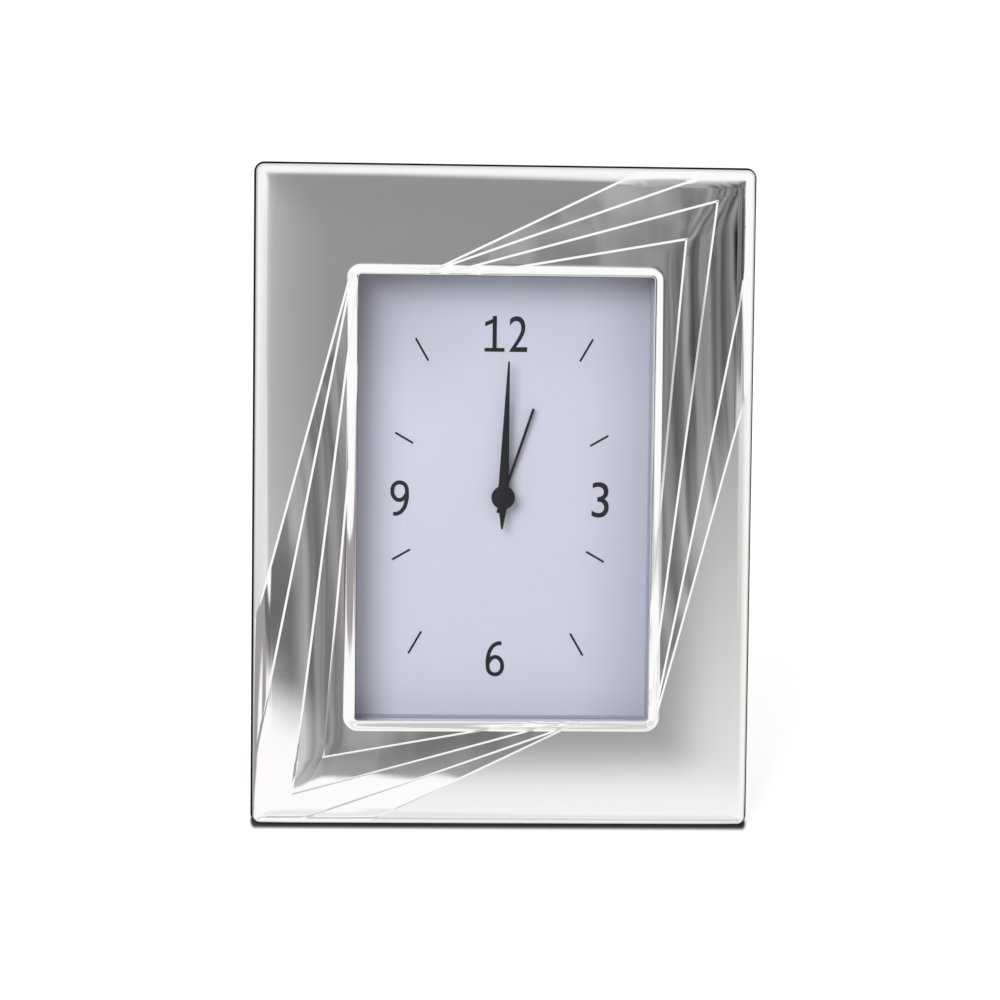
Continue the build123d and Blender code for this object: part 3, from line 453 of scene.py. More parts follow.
# The 1 before it is stretched: the stroke in mm, its other parts as shares of its width, or of its stroke
oneParts = {
    "stroke": 1.4,
    "foot": 0.9,            # the foot bar's height, of the stroke
    "flag": 0.56,           # the flag's length, of the width
    "flagLeft": 0.2,        # how far left it lies, of the width
    "flagDown": 1.22,       # how far below the top, of the stroke
    "flagPivot": 0.1,       # where it begins to slant, of the width
    "slant": 0.42,
}


def makeFigure(name, words, place, width):
    deselect()
    bpy.ops.object.text_add()
    figure = bpy.context.object
    figure.name = name
    figure.data.body = words
    figure.data.resolution_u = dialPrint["textSteps"]
    figure.data.size = dialPrint["textSize"]
    figure.data.extrude = dialPrint["thickness"] * mm / 2
    bpy.ops.object.convert(target="MESH")
    settleFigure(figure, place, width)


def settleFigure(figure, place, width):
    # stretched to its width and height, about its place
    xs = [vertex.co.x for vertex in figure.data.vertices]
    ys = [vertex.co.y for vertex in figure.data.vertices]
    wide = width * mm / (max(xs) - min(xs))
    high = dialPrint["capHeight"] * mm / (max(ys) - min(ys))
    level = (dialPrint["level"] + dialPrint["thickness"] / 2) * mm
    editMode(figure)
    pickAll()
    bpy.ops.transform.translate(value=(-(min(xs) + max(xs)) / 2, -(min(ys) + max(ys)) / 2, 0))
    bpy.ops.transform.resize(value=(wide, high, 1), center_override=(0, 0, 0))
    bpy.ops.transform.translate(value=(place[0] * mm, place[1] * mm, level))
    bpy.ops.mesh.remove_doubles(threshold=nearness["print"])
    objectMode()
    figure.data.materials.clear()
    figure.data.materials.append(finishes["printInk"])
    finishPiece(figure, "case")


def makeRound(name, turn, place, width):
    # a 6, or turned round a 9: a round stroke along a curve, pressed flat
    deselect()
    bpy.ops.curve.primitive_bezier_curve_add()
    figure = bpy.context.object
    figure.name = name
    spline = figure.data.splines[0]
    spline.bezier_points.add(len(dialPrint["six"]) - 2)
    tall = dialPrint["capHeight"] * mm
    for point, (x, y) in zip(spline.bezier_points, dialPrint["six"]):
        point.co = (x * tall, y * tall, 0)
        point.handle_left_type = point.handle_right_type = "AUTO"
    figure.data.bevel_depth = dialPrint["stroke"] / 2 * mm
    figure.data.bevel_resolution = dialPrint["strokeSteps"]
    figure.data.use_fill_caps = True
    bpy.ops.object.convert(target="MESH")
    flattened = dialPrint["thickness"] / dialPrint["stroke"]
    editMode(figure)
    pickAll()
    bpy.ops.transform.resize(value=(1, 1, flattened), center_override=(0, 0, 0))
    bpy.ops.transform.rotate(value=math.radians(turn), orient_axis="Z", center_override=(0, 0, 0))
    objectMode()
    settleFigure(figure, place, width)


def printedBar(name, width, height, x, y):
    # a flat bar of print, moved to this place
    bar = newRectangle(name, width, height, 0)
    raiseTop(dialPrint["thickness"])
    pickAll()
    bpy.ops.transform.translate(value=(x * mm, y * mm, 0))
    objectMode()
    return bar


def makeOne(name, place, width):
    # a stem with a foot bar and a slanting flag
    stroke, tall = oneParts["stroke"], dialPrint["capHeight"]
    footHeight = stroke * oneParts["foot"]
    stem = printedBar(name, stroke, tall, 0, 0)
    foot = printedBar(name + "Foot", width, footHeight, 0, (footHeight - tall) / 2)
    flag = printedBar(name + "Flag", width * oneParts["flag"], stroke,
                      -width * oneParts["flagLeft"], tall / 2 - stroke * oneParts["flagDown"])
    for vertex in flag.data.vertices:
        vertex.co.y += (vertex.co.x / mm + width * oneParts["flagPivot"]) * mm * oneParts["slant"]
    settleFigure(joinPieces([stem, foot, flag]), place, width)


def makeMark(hour, near, far, off):
    mark = newRectangle("mark%d" % hour, dialPrint["markWidth"], far - near, dialPrint["level"])
    raiseTop(dialPrint["thickness"])
    pickAll()
    bpy.ops.transform.translate(value=(0, (near + far) / 2 * mm, 0))
    objectMode()
    turned = Matrix.Rotation(-math.radians(30 * hour), 4, "Z")
    mark.matrix_world = Matrix.Translation((off[0] * mm, off[1] * mm, 0)) @ turned
    bpy.ops.object.transform_apply(location=True, rotation=True, scale=False)
    mark.data.materials.append(finishes["printInk"])
    finishPiece(mark, "case")


# Cap over the hands' axle, mm
handCap = {"radius": 3.88, "steps": 64, "edge": 0.2, "dome": [(0.12, 0.1), (0.3, 0.1), (0.7, 0.1), (1.2, 0.06)]}


def makeHub():
    deselect()
    bpy.ops.mesh.primitive_circle_add(vertices=handCap["steps"], radius=handCap["radius"] * mm, fill_type="NGON")
    cap = bpy.context.object
    cap.name = "handCap"
    editMode(cap)
    pickAll()
    bpy.ops.transform.translate(value=(0, 0, max(heightsOf("minute_hand"))))
    raiseTop(handCap["edge"])
    for inwards, up in handCap["dome"]:
        stepIn(inwards, up)
    objectMode()
    cap.data.materials.append(finishes["blackPaint"])
    finishPiece(cap, "minute")


def makePrint():
    for figure in dialPrint["figures"]:
        makeFigure(*figure)
    makeOne(*dialPrint["one"])
    for figure in dialPrint["rounds"]:
        makeRound(*figure)
    makeHub()
    for mark in dialPrint["marks"]:
        makeMark(*mark)
    print("dial printed")


# Materials. Maths on sockets is written as sums, by way of this small class.


class Wire:
    def __init__(self, board, socket):
        self.board = board
        self.socket = socket

    def maths(self, kind, *others):
        return self.board.node("ShaderNodeMath", {"operation": kind}, [self] + list(others))

    def __add__(self, other):
        return self.maths("ADD", other)

    def __sub__(self, other):
        return self.maths("SUBTRACT", other)

    def __mul__(self, other):
        return self.maths("MULTIPLY", other)

    def __pow__(self, other):
        return self.maths("POWER", other)

    def __radd__(self, other):
        return self + other

    def __rmul__(self, other):
        return self * other

    def __rsub__(self, other):
        return self.board.node("ShaderNodeMath", {"operation": "SUBTRACT"}, [other, self])

    def atLeast(self, other):
        return self.maths("MAXIMUM", other)

    def atMost(self, other):
        return self.maths("MINIMUM", other)

    def between(self, low, high):
        # 0 at low, 1 at high, smooth on the way
        span = {"Value": self, "From Min": low, "From Max": high}
        return self.board.node("ShaderNodeMapRange", {"interpolation_type": "SMOOTHSTEP"}, span)


class Board:
    def __init__(self, owner):
        self.tree = owner.node_tree
        self.tree.nodes.clear()

    def node(self, kind, settings=None, inputs=None, output=0):
        node = self.tree.nodes.new(kind)
        for name, value in (settings or {}).items():
            setattr(node, name, value)
        pairs = enumerate(inputs) if isinstance(inputs, list) else (inputs or {}).items()
        self.connect(node, pairs)
        return Wire(self, node.outputs[output]) if node.outputs else None

    def connect(self, node, pairs):
        for name, value in pairs:
            if isinstance(value, Wire):
                self.tree.links.new(value.socket, node.inputs[name])
            else:
                node.inputs[name].default_value = value

    def axes(self, names, kind="Object"):
        # the spot's place along each of these axes
        spot = self.node("ShaderNodeTexCoord", output=kind)
        return [self.node("ShaderNodeSeparateXYZ", None, {"Vector": spot}, name) for name in names]

    def noise(self, scale, detail=2, rough=0.5, size=(1, 1, 1)):
        start = self.node("ShaderNodeTexCoord", output="Object")
        place = self.node("ShaderNodeMapping", None, {"Vector": start, "Scale": size})
        inputs = {"Vector": place, "Scale": scale, "Detail": detail, "Roughness": rough}
        return self.node("ShaderNodeTexNoise", None, inputs)

    def blend(self, share, first, second):
        # a colour between two others
        node = self.tree.nodes.new("ShaderNodeMix")
        node.data_type = "RGBA"
        first, second = (value if isinstance(value, Wire) else value + (1,) for value in (first, second))
        self.connect(node, ((0, share), (6, first), (7, second)))
        return Wire(self, node.outputs[2])

    def bump(self, height, strength, distance):
        return self.node("ShaderNodeBump", None, {"Height": height, "Strength": strength, "Distance": distance})

    def surface(self, **inputs):
        names = {name.replace("_", " "): value for name, value in inputs.items()}
        shader = self.node("ShaderNodeBsdfPrincipled", None, names)
        self.node("ShaderNodeOutputMaterial", None, {"Surface": shader})


def newMaterial(name):
    material = bpy.data.materials.new(name)
    material.use_nodes = True
    return material, Board(material)


# Finishes. A noise is its scale, detail and roughness, and how it is drawn out along x, y and z. A roughness is
# its lowest, and how much the noise adds. A bump is its strength and its depth in m.
satin = {
    "grain": (2600, 3, 0.6),
    "cloud": (9, 2),
    "colours": ((0.93, 0.92, 0.90), (0.97, 0.965, 0.95)),
    "roughness": (0.20, 0.08),
    "bump": (0.12, 0.00003),
}


def satinSilver():
    material, board = newMaterial("satinSilver")
    grain = board.noise(*satin["grain"])
    cloud = board.noise(*satin["cloud"])
    lowest, more = satin["roughness"]
    board.surface(
        Base_Color=board.blend(cloud, *satin["colours"]),
        Metallic=1.0,
        Roughness=grain * more + lowest,
        Normal=board.bump(grain, *satin["bump"]),
    )
    return material


polish = {
    "wave": (1, 1.5, 0.5, (60, 60, 11)),
    "smear": (60, 3),
    "smearSpan": (0.45, 0.8),
    "colour": (0.97, 0.965, 0.95, 1),
    "roughness": (0.04, 0.03),
    "bump": (0.14, 0.0006),
}


def mirrorSilver():
    material, board = newMaterial("mirrorSilver")
    wave = board.noise(*polish["wave"])
    smear = board.noise(*polish["smear"])
    lowest, more = polish["roughness"]
    board.surface(
        Base_Color=polish["colour"],
        Metallic=1.0,
        Roughness=smear.between(*polish["smearSpan"]) * more + lowest,
        Normal=board.bump(wave, *polish["bump"]),
    )
    return material


glass = {
    "smear": (35, 3),
    "smearSpan": (0.55, 0.9),
    "colour": (0.97, 0.985, 0.985, 1),
    "roughness": 0.02,
    "bending": 1.45,
}


def clearGlass():
    material, board = newMaterial("clearGlass")
    smear = board.noise(*glass["smear"])
    board.surface(
        Base_Color=glass["colour"],
        Roughness=smear.between(*glass["smearSpan"]) * glass["roughness"],
        IOR=glass["bending"],
        Transmission_Weight=1.0,
    )
    return material


card = {
    "fibres": (1200, 3, 0.6),
    "cloud": (40, 2),
    "colours": ((0.60, 0.60, 0.715), (0.625, 0.625, 0.74)),
    "shadeColour": (0.13, 0.13, 0.18),
    "right": (0.022, 0.052),        # m from the hub, where the painted shade begins and where it is deepest
    "left": (0.0, 0.05),
    "top": (0.02, 0.075),
    "shades": (0.3, 0.15, 0.30),    # how much painted shade: to the right, to the top, and more to the top left
    "roughness": (0.55, 0.1),
    "bump": (0.05, 0.00005),
}


def dialCard():
    # lavender card, with shade painted into its colour: darker to its right, to its top, and most at its top left
    # corner
    material, board = newMaterial("dialCard")
    x, z = board.axes("XZ")
    left = (x * -1).between(*card["left"])
    top = (z - hub["pos_m"][2]).between(*card["top"])
    toRight, toTop, toTopLeft = card["shades"]
    # painted shade, standing in for the shadow of the frame's rim on the card
    shade = x.between(*card["right"]) * toRight + top * toTop + top * left * toTopLeft
    fibres = board.noise(*card["fibres"])
    colour = board.blend(board.noise(*card["cloud"]), *card["colours"])
    lowest, more = card["roughness"]
    board.surface(
        Base_Color=board.blend(shade, colour, card["shadeColour"]),
        Roughness=fibres * more + lowest,
        Normal=board.bump(fibres, *card["bump"]),
    )
    return material


lacquer = {
    "paint": (0.007, 0.007, 0.008),
    "stains": ((0.014, 0.013, 0.012), (0.040, 0.036, 0.032)),
    "stainSpan": (0.3, 0.75),
    "fibres": (1, 5, 0.65, (1100, 1100, 16)),
    "back": (0.0002, 0.0012),       # m out from the frame's back, where the back's finish gives way to paint
    "roughness": (0.38, 0.15),
    "shine": 0.07,
    "coat": (0.5, 0.35),            # how much on the back, and its roughness
    "bump": (0.3, 0.0001),
}


def blackLacquer():
    # matt black paint over the edges, thinner on the back, where the wood's fibres show
    material, board = newMaterial("blackLacquer")
    y, z = board.axes("YZ")
    deep = y * outwards.y + z * outwards.z - outwards.dot(Vector(hub["pos_m"]))
    start, stop = lacquer["back"]
    back = 1 - deep.between(backPlane + start, backPlane + stop)
    fibres = board.noise(*lacquer["fibres"])
    stained = board.blend(fibres.between(*lacquer["stainSpan"]), *lacquer["stains"])
    lowest, more = lacquer["roughness"]
    coat, coatRoughness = lacquer["coat"]
    board.surface(
        Base_Color=board.blend(back, lacquer["paint"], stained),
        Roughness=fibres * more + lowest,
        Specular_IOR_Level=lacquer["shine"],
        Coat_Weight=back * coat,
        Coat_Roughness=coatRoughness,
        Normal=board.bump(fibres * back, *lacquer["bump"]),
    )
    return material


wood = {
    "fibres": (1, 5, 0.6, (520, 520, 11)),
    "bands": (1, 2, 0.5, (90, 90, 3.5)),
    "pores": (1, 2, 0.5, (1700, 1700, 45)),
    "poreSpan": (0.58, 0.7),
    "toneSpan": (0.35, 0.65),
    "colours": ((0.035, 0.018, 0.010), (0.115, 0.060, 0.032)),
    "poreColour": (0.015, 0.008, 0.005),
    "poreShare": 0.6,
    "roughness": (0.38, 0.2),
    "coat": (0.25, 0.2),            # how much, and its roughness
    "heights": (0.6, 0.5),          # of the fibres and, downwards, of the pores
    "bump": (0.25, 0.0001),
}


def darkWood():
    material, board = newMaterial("darkWood")
    fibres = board.noise(*wood["fibres"])
    bands = board.noise(*wood["bands"])
    pores = board.noise(*wood["pores"]).between(*wood["poreSpan"])
    tone = fibres * 0.5 + bands * 0.5
    colour = board.blend(tone.between(*wood["toneSpan"]), *wood["colours"])
    lowest, more = wood["roughness"]
    coat, coatRoughness = wood["coat"]
    fibreHeight, poreDepth = wood["heights"]
    board.surface(
        Base_Color=board.blend(pores * wood["poreShare"], colour, wood["poreColour"]),
        Roughness=fibres * more + lowest,
        Coat_Weight=coat,
        Coat_Roughness=coatRoughness,
        Normal=board.bump(fibres * fibreHeight - pores * poreDepth, *wood["bump"]),
    )
    return material


# Plain finishes: two colours that drift into each other, and a fine grain
plainFinishes = {
    "printInk": {"colours": ((0.010, 0.010, 0.012), (0.014, 0.014, 0.016)), "roughness": 0.5, "scale": 900,
                 "Specular_IOR_Level": 0.1},
    "spacerPlastic": {"colours": ((0.34, 0.34, 0.41), (0.38, 0.38, 0.45)), "roughness": 0.5, "scale": 700,
                      "grain": 0.05},
    "nickel": {"colours": ((0.62, 0.60, 0.56), (0.70, 0.68, 0.64)), "roughness": 0.24, "metallic": 1.0,
               "scale": 350, "grain": 0.05},
    "steel": {"colours": ((0.50, 0.50, 0.51), (0.58, 0.58, 0.59)), "roughness": 0.3, "metallic": 1.0,
              "scale": 500, "grain": 0.08},
    "blackPlastic": {"colours": ((0.018, 0.018, 0.019), (0.026, 0.026, 0.027)), "roughness": 0.45,
                     "scale": 2400, "grain": 0.35, "depth": 0.00006},
    "whitePlastic": {"colours": ((0.66, 0.66, 0.63), (0.72, 0.72, 0.69)), "roughness": 0.4, "scale": 800,
                     "grain": 0.05},
    "batterySleeve": {"colours": ((0.05, 0.06, 0.07), (0.07, 0.08, 0.09)), "roughness": 0.35, "scale": 300},
    "magnet": {"colours": ((0.12, 0.12, 0.13), (0.18, 0.18, 0.19)), "roughness": 0.5, "metallic": 0.6,
               "scale": 500},
    "copperWire": {"colours": ((0.50, 0.22, 0.10), (0.62, 0.28, 0.13)), "roughness": 0.3, "metallic": 0.9,
                   "scale": 1200, "grain": 0.3},
    "boardGreen": {"colours": ((0.02, 0.16, 0.06), (0.03, 0.20, 0.08)), "roughness": 0.3, "scale": 600},
    "brass": {"colours": ((0.62, 0.44, 0.18), (0.70, 0.52, 0.24)), "roughness": 0.3, "metallic": 1.0,
              "scale": 500},
    "blackPaint": {"colours": ((0.008, 0.008, 0.010), (0.012, 0.012, 0.014)), "roughness": 0.45, "scale": 700,
                   "grain": 0.05, "Specular_IOR_Level": 0.12},
}


def plainFinish(name, colours, roughness, scale, metallic=0.0, grain=0.1, depth=0.00005, **more):
    material, board = newMaterial(name)
    fine = board.noise(scale, 3, 0.6)
    cloud = board.noise(scale / 12, 2)
    board.surface(
        Base_Color=board.blend(cloud, *colours),
        Metallic=metallic,
        Roughness=fine * 0.1 + (roughness - 0.05),
        Normal=board.bump(fine, grain, depth),
        **more,
    )
    return material


finishes = {
    "satinSilver": satinSilver(),
    "mirrorSilver": mirrorSilver(),
    "clearGlass": clearGlass(),
    "darkWood": darkWood(),
    "blackLacquer": blackLacquer(),
    "dialCard": dialCard(),
}
for name, values in plainFinishes.items():
    finishes[name] = plainFinish(name, **values)
print("materials mixed")

slotFinish = {
    "silver": "satinSilver", "black_lacquer": "blackLacquer", "glass": "clearGlass", "spacer_plastic": "spacerPlastic",
    "dial_card": "dialCard", "dark_wood": "darkWood", "nickel": "nickel", "steel": "steel",
    "black_plastic": "blackPlastic", "white_plastic": "whitePlastic", "battery_sleeve": "batterySleeve",
    "magnet": "magnet", "copper_wire": "copperWire", "board_green": "boardGreen", "brass": "brass",
    "black_paint": "blackPaint",
}
slotOf = {subpart["node"]: subpart["material_slot"] for subpart in frame["record"]["subparts"]}
bodyOf = {node: body for body, nodes in frame["record"]["behaviour"]["bodies"].items() for node in nodes}
for name, slot in slotOf.items():
    node = frame["nodes"][name]
    node.data.materials.clear()
    node.data.materials.append(finishes[slotFinish[slot]])

# the glass lets the light through to the dial
pane = frame["nodes"]["glass_pane"]
pane.visible_shadow = False
pane.visible_diffuse = False

makeSilverFace()
makePrint()


# Edges of the carried-over pieces, rounded by this much, in mm
softEdges = {
    "back_panel": 0.25, "easel_leg": 0.4, "turn_button_1": 0.2, "turn_button_2": 0.2, "turn_button_3": 0.2,
    "turn_button_4": 0.2, "leg_hinge_leaf": 0.12, "panel_hinge_leaf": 0.12, "movement_back_case": 0.35,
    "movement_front_case": 0.2, "battery_door": 0.2, "alarm_switch": 0.15, "time_knob": 0.12, "alarm_knob": 0.12,
}
rounding = {"steps": 2, "sharp": 50}        # only edges sharper than this are rounded, degrees

screwPieces = ("turn_button_screws", "movement_screws", "panel_hinge_screws", "leg_hinge_screws")

# Cross recesses of the screws: how broad for the head, how broad each slot, how deep in mm
recess = {
    "reach": 0.62,
    "slot": 0.16,
    "depth": 0.5,
    "over": 1,              # how far the cutting cross stands out of the head, mm
    "turn": (0.3, 0.7),     # the first screw's turn, and how much further the next is turned, radians
}


def copyOf(name):
    # the node's triangles, merged into one skin with whole faces
    select(frame["nodes"][name])
    bpy.ops.object.duplicate()
    piece = bpy.context.object
    piece.name = name + "Copy"
    editMode(piece)
    pickAll()
    bpy.ops.mesh.remove_doubles(threshold=nearness["copy"])
    bpy.ops.mesh.dissolve_limited(angle_limit=math.radians(0.5))
    objectMode()
    return piece


def handOver(piece, name, angle=30):
    finishPiece(piece, bodyOf[name], angle, stand=False)
    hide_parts(name)


def soften(name, width):
    # round its edges, and keep its flats flat to the eye
    piece = copyOf(name)
    edges = piece.modifiers.new("edges", "BEVEL")
    edges.width = width * mm
    edges.segments = rounding["steps"]
    edges.limit_method = "ANGLE"
    edges.angle_limit = math.radians(rounding["sharp"])
    bpy.ops.object.modifier_apply(modifier=edges.name)
    handOver(piece, name, rounding["sharp"])
    flats = piece.modifiers.new("flats", "WEIGHTED_NORMAL")
    flats.weight = 100
    flats.keep_sharp = True
    bpy.ops.object.modifier_apply(modifier=flats.name)


def makeCross(radius):
    # a cross of five squares with a point up, as a tool that cuts a recess for a head of this radius
    deselect()
    bpy.ops.mesh.primitive_grid_add(x_subdivisions=3, y_subdivisions=3, size=2)
    cross = bpy.context.object
    for vertex in cross.data.vertices:
        for axis in (0, 1):
            share = recess["slot"] if abs(vertex.co[axis]) < 0.5 else recess["reach"]
            vertex.co[axis] = math.copysign(share * radius, vertex.co[axis])
    slot = recess["slot"] * radius
    pickFaces(cross, lambda centre, normal: abs(centre.x) > slot and abs(centre.y) > slot)
    bpy.ops.mesh.delete(type="FACE")
    pickAll()
    bpy.ops.transform.translate(value=(0, 0, -recess["depth"] * mm))
    raiseTop(recess["depth"] + recess["over"])
    pickAll()
    bpy.ops.mesh.normals_make_consistent(inside=False)
    objectMode()
    return cross


def makeScrews(name):
    piece = copyOf(name)
    editMode(piece)
    pickAll()
    bpy.ops.mesh.separate(type="LOOSE")
    objectMode()
    screws = list(bpy.context.selected_objects)
    first, further = recess["turn"]
    for number, screw in enumerate(screws):
        head = max(screw.data.polygons, key=lambda polygon: polygon.area)
        centre, normal = head.center.copy(), head.normal.copy()
        cross = makeCross(math.sqrt(head.area / math.pi))
        turned = normal.to_track_quat("Z", "Y").to_matrix().to_4x4()
        turned = turned @ Matrix.Rotation(further * number + first, 4, "Z")
        cross.matrix_world = Matrix.Translation(screw.matrix_world @ centre) @ turned
        select(screw)
        cut = screw.modifiers.new("recess", "BOOLEAN")
        cut.object = cross
        bpy.ops.object.modifier_apply(modifier=cut.name)
        bpy.data.objects.remove(cross)
    handOver(joinPieces(screws), name)


for name, width in softEdges.items():
    soften(name, width)
for name in screwPieces:
    makeScrews(name)
print("edges rounded and screws cut")


def whenSeen(board):
    # 1 where a ray shows the room itself: seen straight, mirrored or through glass
    rays = ("Is Camera Ray", "Is Glossy Ray", "Is Transmission Ray")
    straight, mirrored, through = (board.node("ShaderNodeLightPath", output=ray) for ray in rays)
    return (straight + mirrored + through).atMost(1.0)


# White floor, which keeps the object's shadow, and has a painted contact shadow that darkens its colour next to the
# foot
ground = {
    "size": 30.0,               # m
    "colour": (0.84, 0.84, 0.84),
    "contactColour": (0.05, 0.05, 0.05),
    "glow": 0.62,
    "foot": (0.081, 0.021),     # m, half the foot's width and how far its edge stands towards the viewer
    "beside": 4,                # how many times shorter the painted contact shadow is beside the foot
    "behind": 2,                # and how much is added to its distance behind it, as a share
    "contact": (0.0052, 0.0096),        # m from the foot, where the painted contact shadow is deepest and where it ends
    "glowFrom": (0.006, 0.011),         # m from the foot, so that the shadow stays
}


def makeFloor():
    deselect()
    bpy.ops.mesh.primitive_plane_add(size=ground["size"])
    floor = bpy.context.object
    floor.name = "floor"
    material, board = newMaterial("floor")
    x, y = board.axes("XY")
    halfFoot, forward = ground["foot"]
    alongside = (x.maths("ABSOLUTE") - halfFoot).atLeast(0) * ground["beside"]
    toFoot = y + forward
    toFoot = toFoot + toFoot.atLeast(0) * ground["behind"]
    away = (alongside * alongside + toFoot * toFoot) ** 0.5
    glowing = whenSeen(board) * away.between(*ground["glowFrom"])
    board.surface(
        # painted contact shadow: the floor's colour turns dark near the foot
        Base_Color=board.blend(away.between(*ground["contact"]), ground["contactColour"], ground["colour"]),
        Roughness=0.9,
        Emission_Color=board.blend(glowing, (0, 0, 0), (1, 1, 1)),
        Emission_Strength=ground["glow"],
    )
    floor.data.materials.append(material)
    floor.visible_glossy = False


keyLamp = {"power": 11.0, "place": (-0.55, -0.75, 0.85), "size": 0.7}


def makeKey():
    bpy.ops.object.light_add(type="AREA")
    key = bpy.context.object
    key.name = "key"
    key.data.energy = keyLamp["power"]
    key.data.size = keyLamp["size"]
    away = Vector(keyLamp["place"])
    key.matrix_world = Matrix.Translation(away) @ away.to_track_quat("Z", "Y").to_matrix().to_4x4()
    key.visible_glossy = False


# The room that the silver mirrors: white, with a dim part towards the viewer. Places are in degrees to the right
# or up, and a pair is where something begins and where it is whole.
room = {
    "fill": 0.47,               # its light on the object
    "dim": (0.145, 0.385),      # the dim part's darkest and lightest streaks
    "dimLeft": (-40.0, -22.0),
    "dimRight": (56.0, 66.0),
    "dimTop": (40.0, 76.0),
    "dimFoot": (-6.2, -4.9),
    "footRight": (3.0, 0.85, 12.4),     # how its foot rises to the right: from where, how steeply, how far
    "footLeft": (9.0, 3.0, 11.05),
    "footFalls": (22.0, 0.03),  # and falls again to the left
    "leanLeft": (8, 16, 0.9),   # how its left side leans in, higher up: from, to, how steeply
    "leanLow": (8.45, 90.0),    # and how both sides lean out, lower down: from where, how steeply
    "leanRight": (11.5, 8.0),
    "sinkRight": (23.0, 0.2),   # beyond here to the sides everything lies this much lower per degree
    "sinkLeft": (50.0, 0.31),
    "folds": (0.42, 0.035),     # how fine its streaks are to the side and upwards
    "streaks": (0.3, 0.72),
    "low": (0, 2.5),            # degrees below the right lean's start
    "rightShade": (4, 18, 0.11),        # darker to the right: from, to, how much
    "topGlow": (12, 18, 0.045),         # lighter higher up
    "lowGlow": (10, 45, 0.3),           # lighter low on the right
    "footGlow": (-4, 3, 0.1),           # lighter towards its foot
    "leftCorner": (11, 15),             # a dark patch low on the left: to the left, and below its top
    "leftCornerTop": (9.3, 1.2),
    "leftCornerTone": 0.01,             # above the darkest
    "leftPatch": (4, 9, 0.2),           # and a light one beside it
    "leftPatchTop": (6.4, 1),
    "post": (26.0, 33.0, 13.4, 15.2),   # a dark upright shape: from, to, foot, top
    "postEdge": 1,
    "postDark": 0.9,
    "under": (-80.0, -76.0, -66.0, -62.0, 0.4),     # a grey band under the viewer, which the risers show
    "underSoft": (-22, -40, -48, -62, 0.16),        # and a fainter one
    "underSide": (0.5, 0.0),    # both only towards the viewer
    "behind": (0.22, 0.75),     # tones of the room behind the frame, from its floor up
    "behindUp": (-60, 45),
    "behindStreak": 0.12,
    "behindFrom": (0.35, 0.8),
    "behindTop": (45, 75),
    "tints": ((1.0, 0.945, 0.985), (0.99, 1.0, 0.985)),     # of the dim part, left and right
    "tintSpan": (-25, 15),
    "tintFades": (0.55, 0.9),
}


def dimShare(side, up, level, foot, below):
    # 1 in the dim part, 0 outside it
    leanFrom, leanTo, steep = room["leanLeft"]
    lowFrom, lowSteep = room["leanLow"]
    high = (up.atMost(leanTo) - leanFrom).atLeast(0)
    leftLean = side - high * steep + (lowFrom - level).atLeast(0) * lowSteep
    rightLean = side - below * room["leanRight"][1]
    dim = leftLean.between(*room["dimLeft"]) * (1 - rightLean.between(*room["dimRight"]))
    return dim * (1 - up.between(*room["dimTop"])) * foot.between(*room["dimFoot"])


def dimTone(side, up, foot, below, streak):
    # how bright the dim part is
    darkest, lightest = room["dim"]
    low = below.between(*room["low"])
    tone = streak.between(*room["streaks"]) * (lightest - darkest) + darkest
    start, stop, shade = room["rightShade"]
    tone = tone - side.between(start, stop) * (1 - low) * shade
    start, stop, glow = room["topGlow"]
    tone = tone + up.between(start, stop) * glow
    start, stop, glow = room["lowGlow"]
    tone = tone + side.between(start, stop) * low * glow
    start, stop, glow = room["footGlow"]
    tone = tone + (1 - foot.between(start, stop)) * glow
    top, soft = room["leftCornerTop"]
    corner = (side * -1).between(*room["leftCorner"]) * (top - up).between(0, soft)
    tone = tone - corner * (tone - darkest - room["leftCornerTone"])
    start, stop, glow = room["leftPatch"]
    top, soft = room["leftPatchTop"]
    return tone + (side * -1).between(start, stop) * (top - up).between(0, soft) * glow


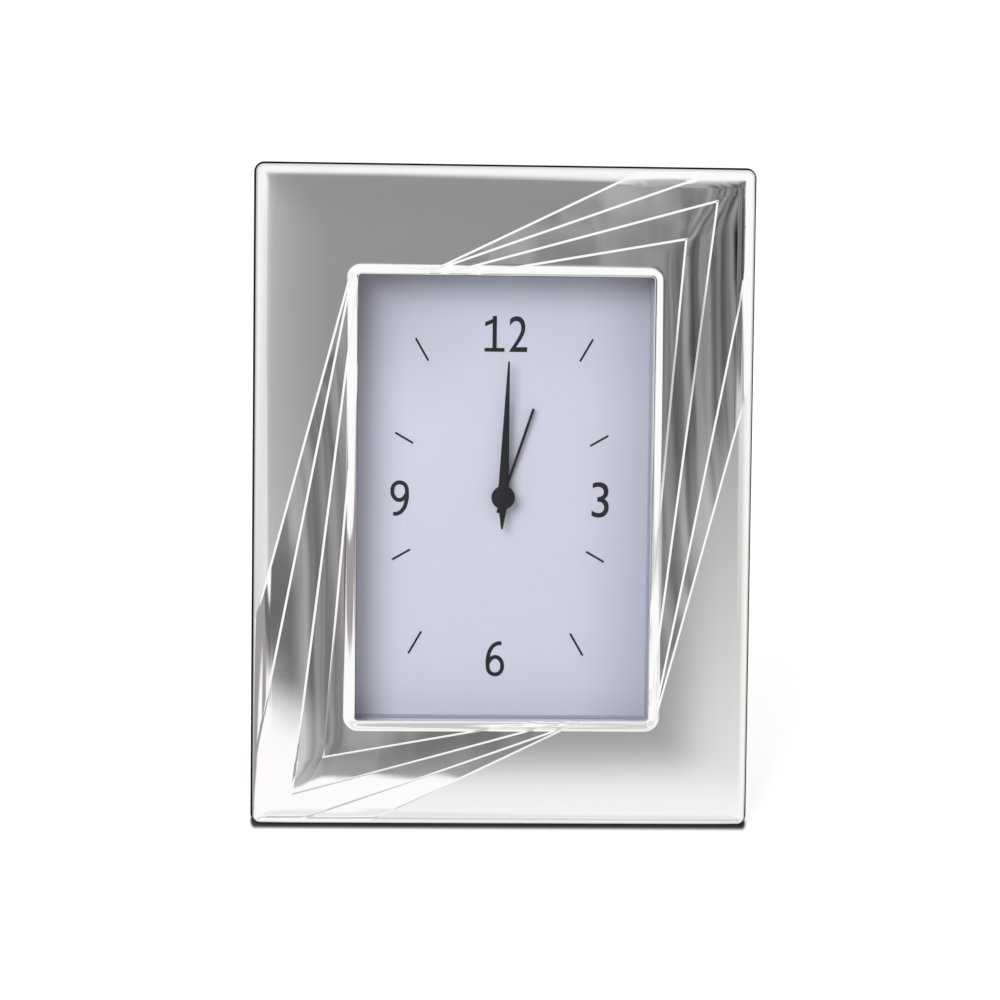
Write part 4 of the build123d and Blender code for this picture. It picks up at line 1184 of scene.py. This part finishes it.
def aroundDim(shown, side, up, y, streak):
    # a post, grey bands under the viewer, and the room behind the frame
    start, stop, low, high = room["post"]
    edge = room["postEdge"]
    post = side.between(start - edge, start + edge) * (1 - side.between(stop - edge, stop + edge))
    upright = post * up.between(low - edge, low + edge) * (1 - up.between(high - edge, high + edge))
    shown = shown * (1 - upright * room["postDark"])
    for start, whole, last, end, grey in (room["under"], room["underSoft"]):
        band = up.between(start, whole) * (1 - up.between(last, end))
        shown = shown - band * y.between(*room["underSide"]) * grey
    floorTone, upperTone = room["behind"]
    behind = up.between(*room["behindUp"]) * (upperTone - floorTone) + floorTone + streak * room["behindStreak"]
    return shown - (shown - behind) * y.between(*room["behindFrom"]) * (1 - up.between(*room["behindTop"]))


def makeRoom():
    world = bpy.data.worlds.new("room")
    bpy.context.scene.world = world
    world.use_nodes = True
    board = Board(world)
    x, y, z = board.axes("XYZ", "Generated")
    side = x.maths("ARCTAN2", y * -1) * (180 / math.pi)
    up = z.maths("ARCSINE") * (180 / math.pi)
    level = up
    for way, (sinkFrom, sinking) in ((side, room["sinkRight"]), (side * -1, room["sinkLeft"])):
        level = level + (way - sinkFrom).atLeast(0) * sinking
    foot = level
    for way, (bendFrom, steep, most) in ((side, room["footRight"]), (side * -1, room["footLeft"])):
        foot = foot - ((way - bendFrom).atLeast(0) * steep).atMost(most)
    fallsFrom, falling = room["footFalls"]
    foot = foot + (side * -1 - fallsFrom).atLeast(0) * falling
    below = (room["leanRight"][0] - level).atLeast(0)

    acrossFolds, upFolds = room["folds"]
    folds = board.node("ShaderNodeCombineXYZ", None, {"X": side * acrossFolds, "Y": up * upFolds})
    streaks = {"Vector": folds, "Scale": 1.0, "Detail": 3.0, "Roughness": 0.55}
    streak = board.node("ShaderNodeTexNoise", {"noise_dimensions": "2D"}, streaks)
    tone = dimTone(side, up, foot, below, streak)
    shown = 1 - dimShare(side, up, level, foot, below) * (1 - tone)
    shown = aroundDim(shown, side, up, y, streak)

    # the silver mirrors these tones, and the camera itself sees white
    tint = board.blend(side.between(*room["tintSpan"]), *room["tints"])
    colour = board.blend(shown.between(*room["tintFades"]), tint, (1, 1, 1))
    straight = board.node("ShaderNodeLightPath", output="Is Camera Ray")
    colour = board.blend(shown, (0, 0, 0), colour)
    mirrored = board.node("ShaderNodeBackground", None, {"Color": board.blend(straight, colour, (1, 1, 1))})
    fill = board.node("ShaderNodeBackground", None, {"Color": (1, 1, 1, 1), "Strength": room["fill"]})
    mixed = board.node("ShaderNodeMixShader", None, [whenSeen(board), fill, mirrored])
    board.node("ShaderNodeOutputWorld", None, {"Surface": mixed})


bpy.context.scene.view_settings.view_transform = "Standard"
makeFloor()
makeKey()
makeRoom()
print("studio lit")
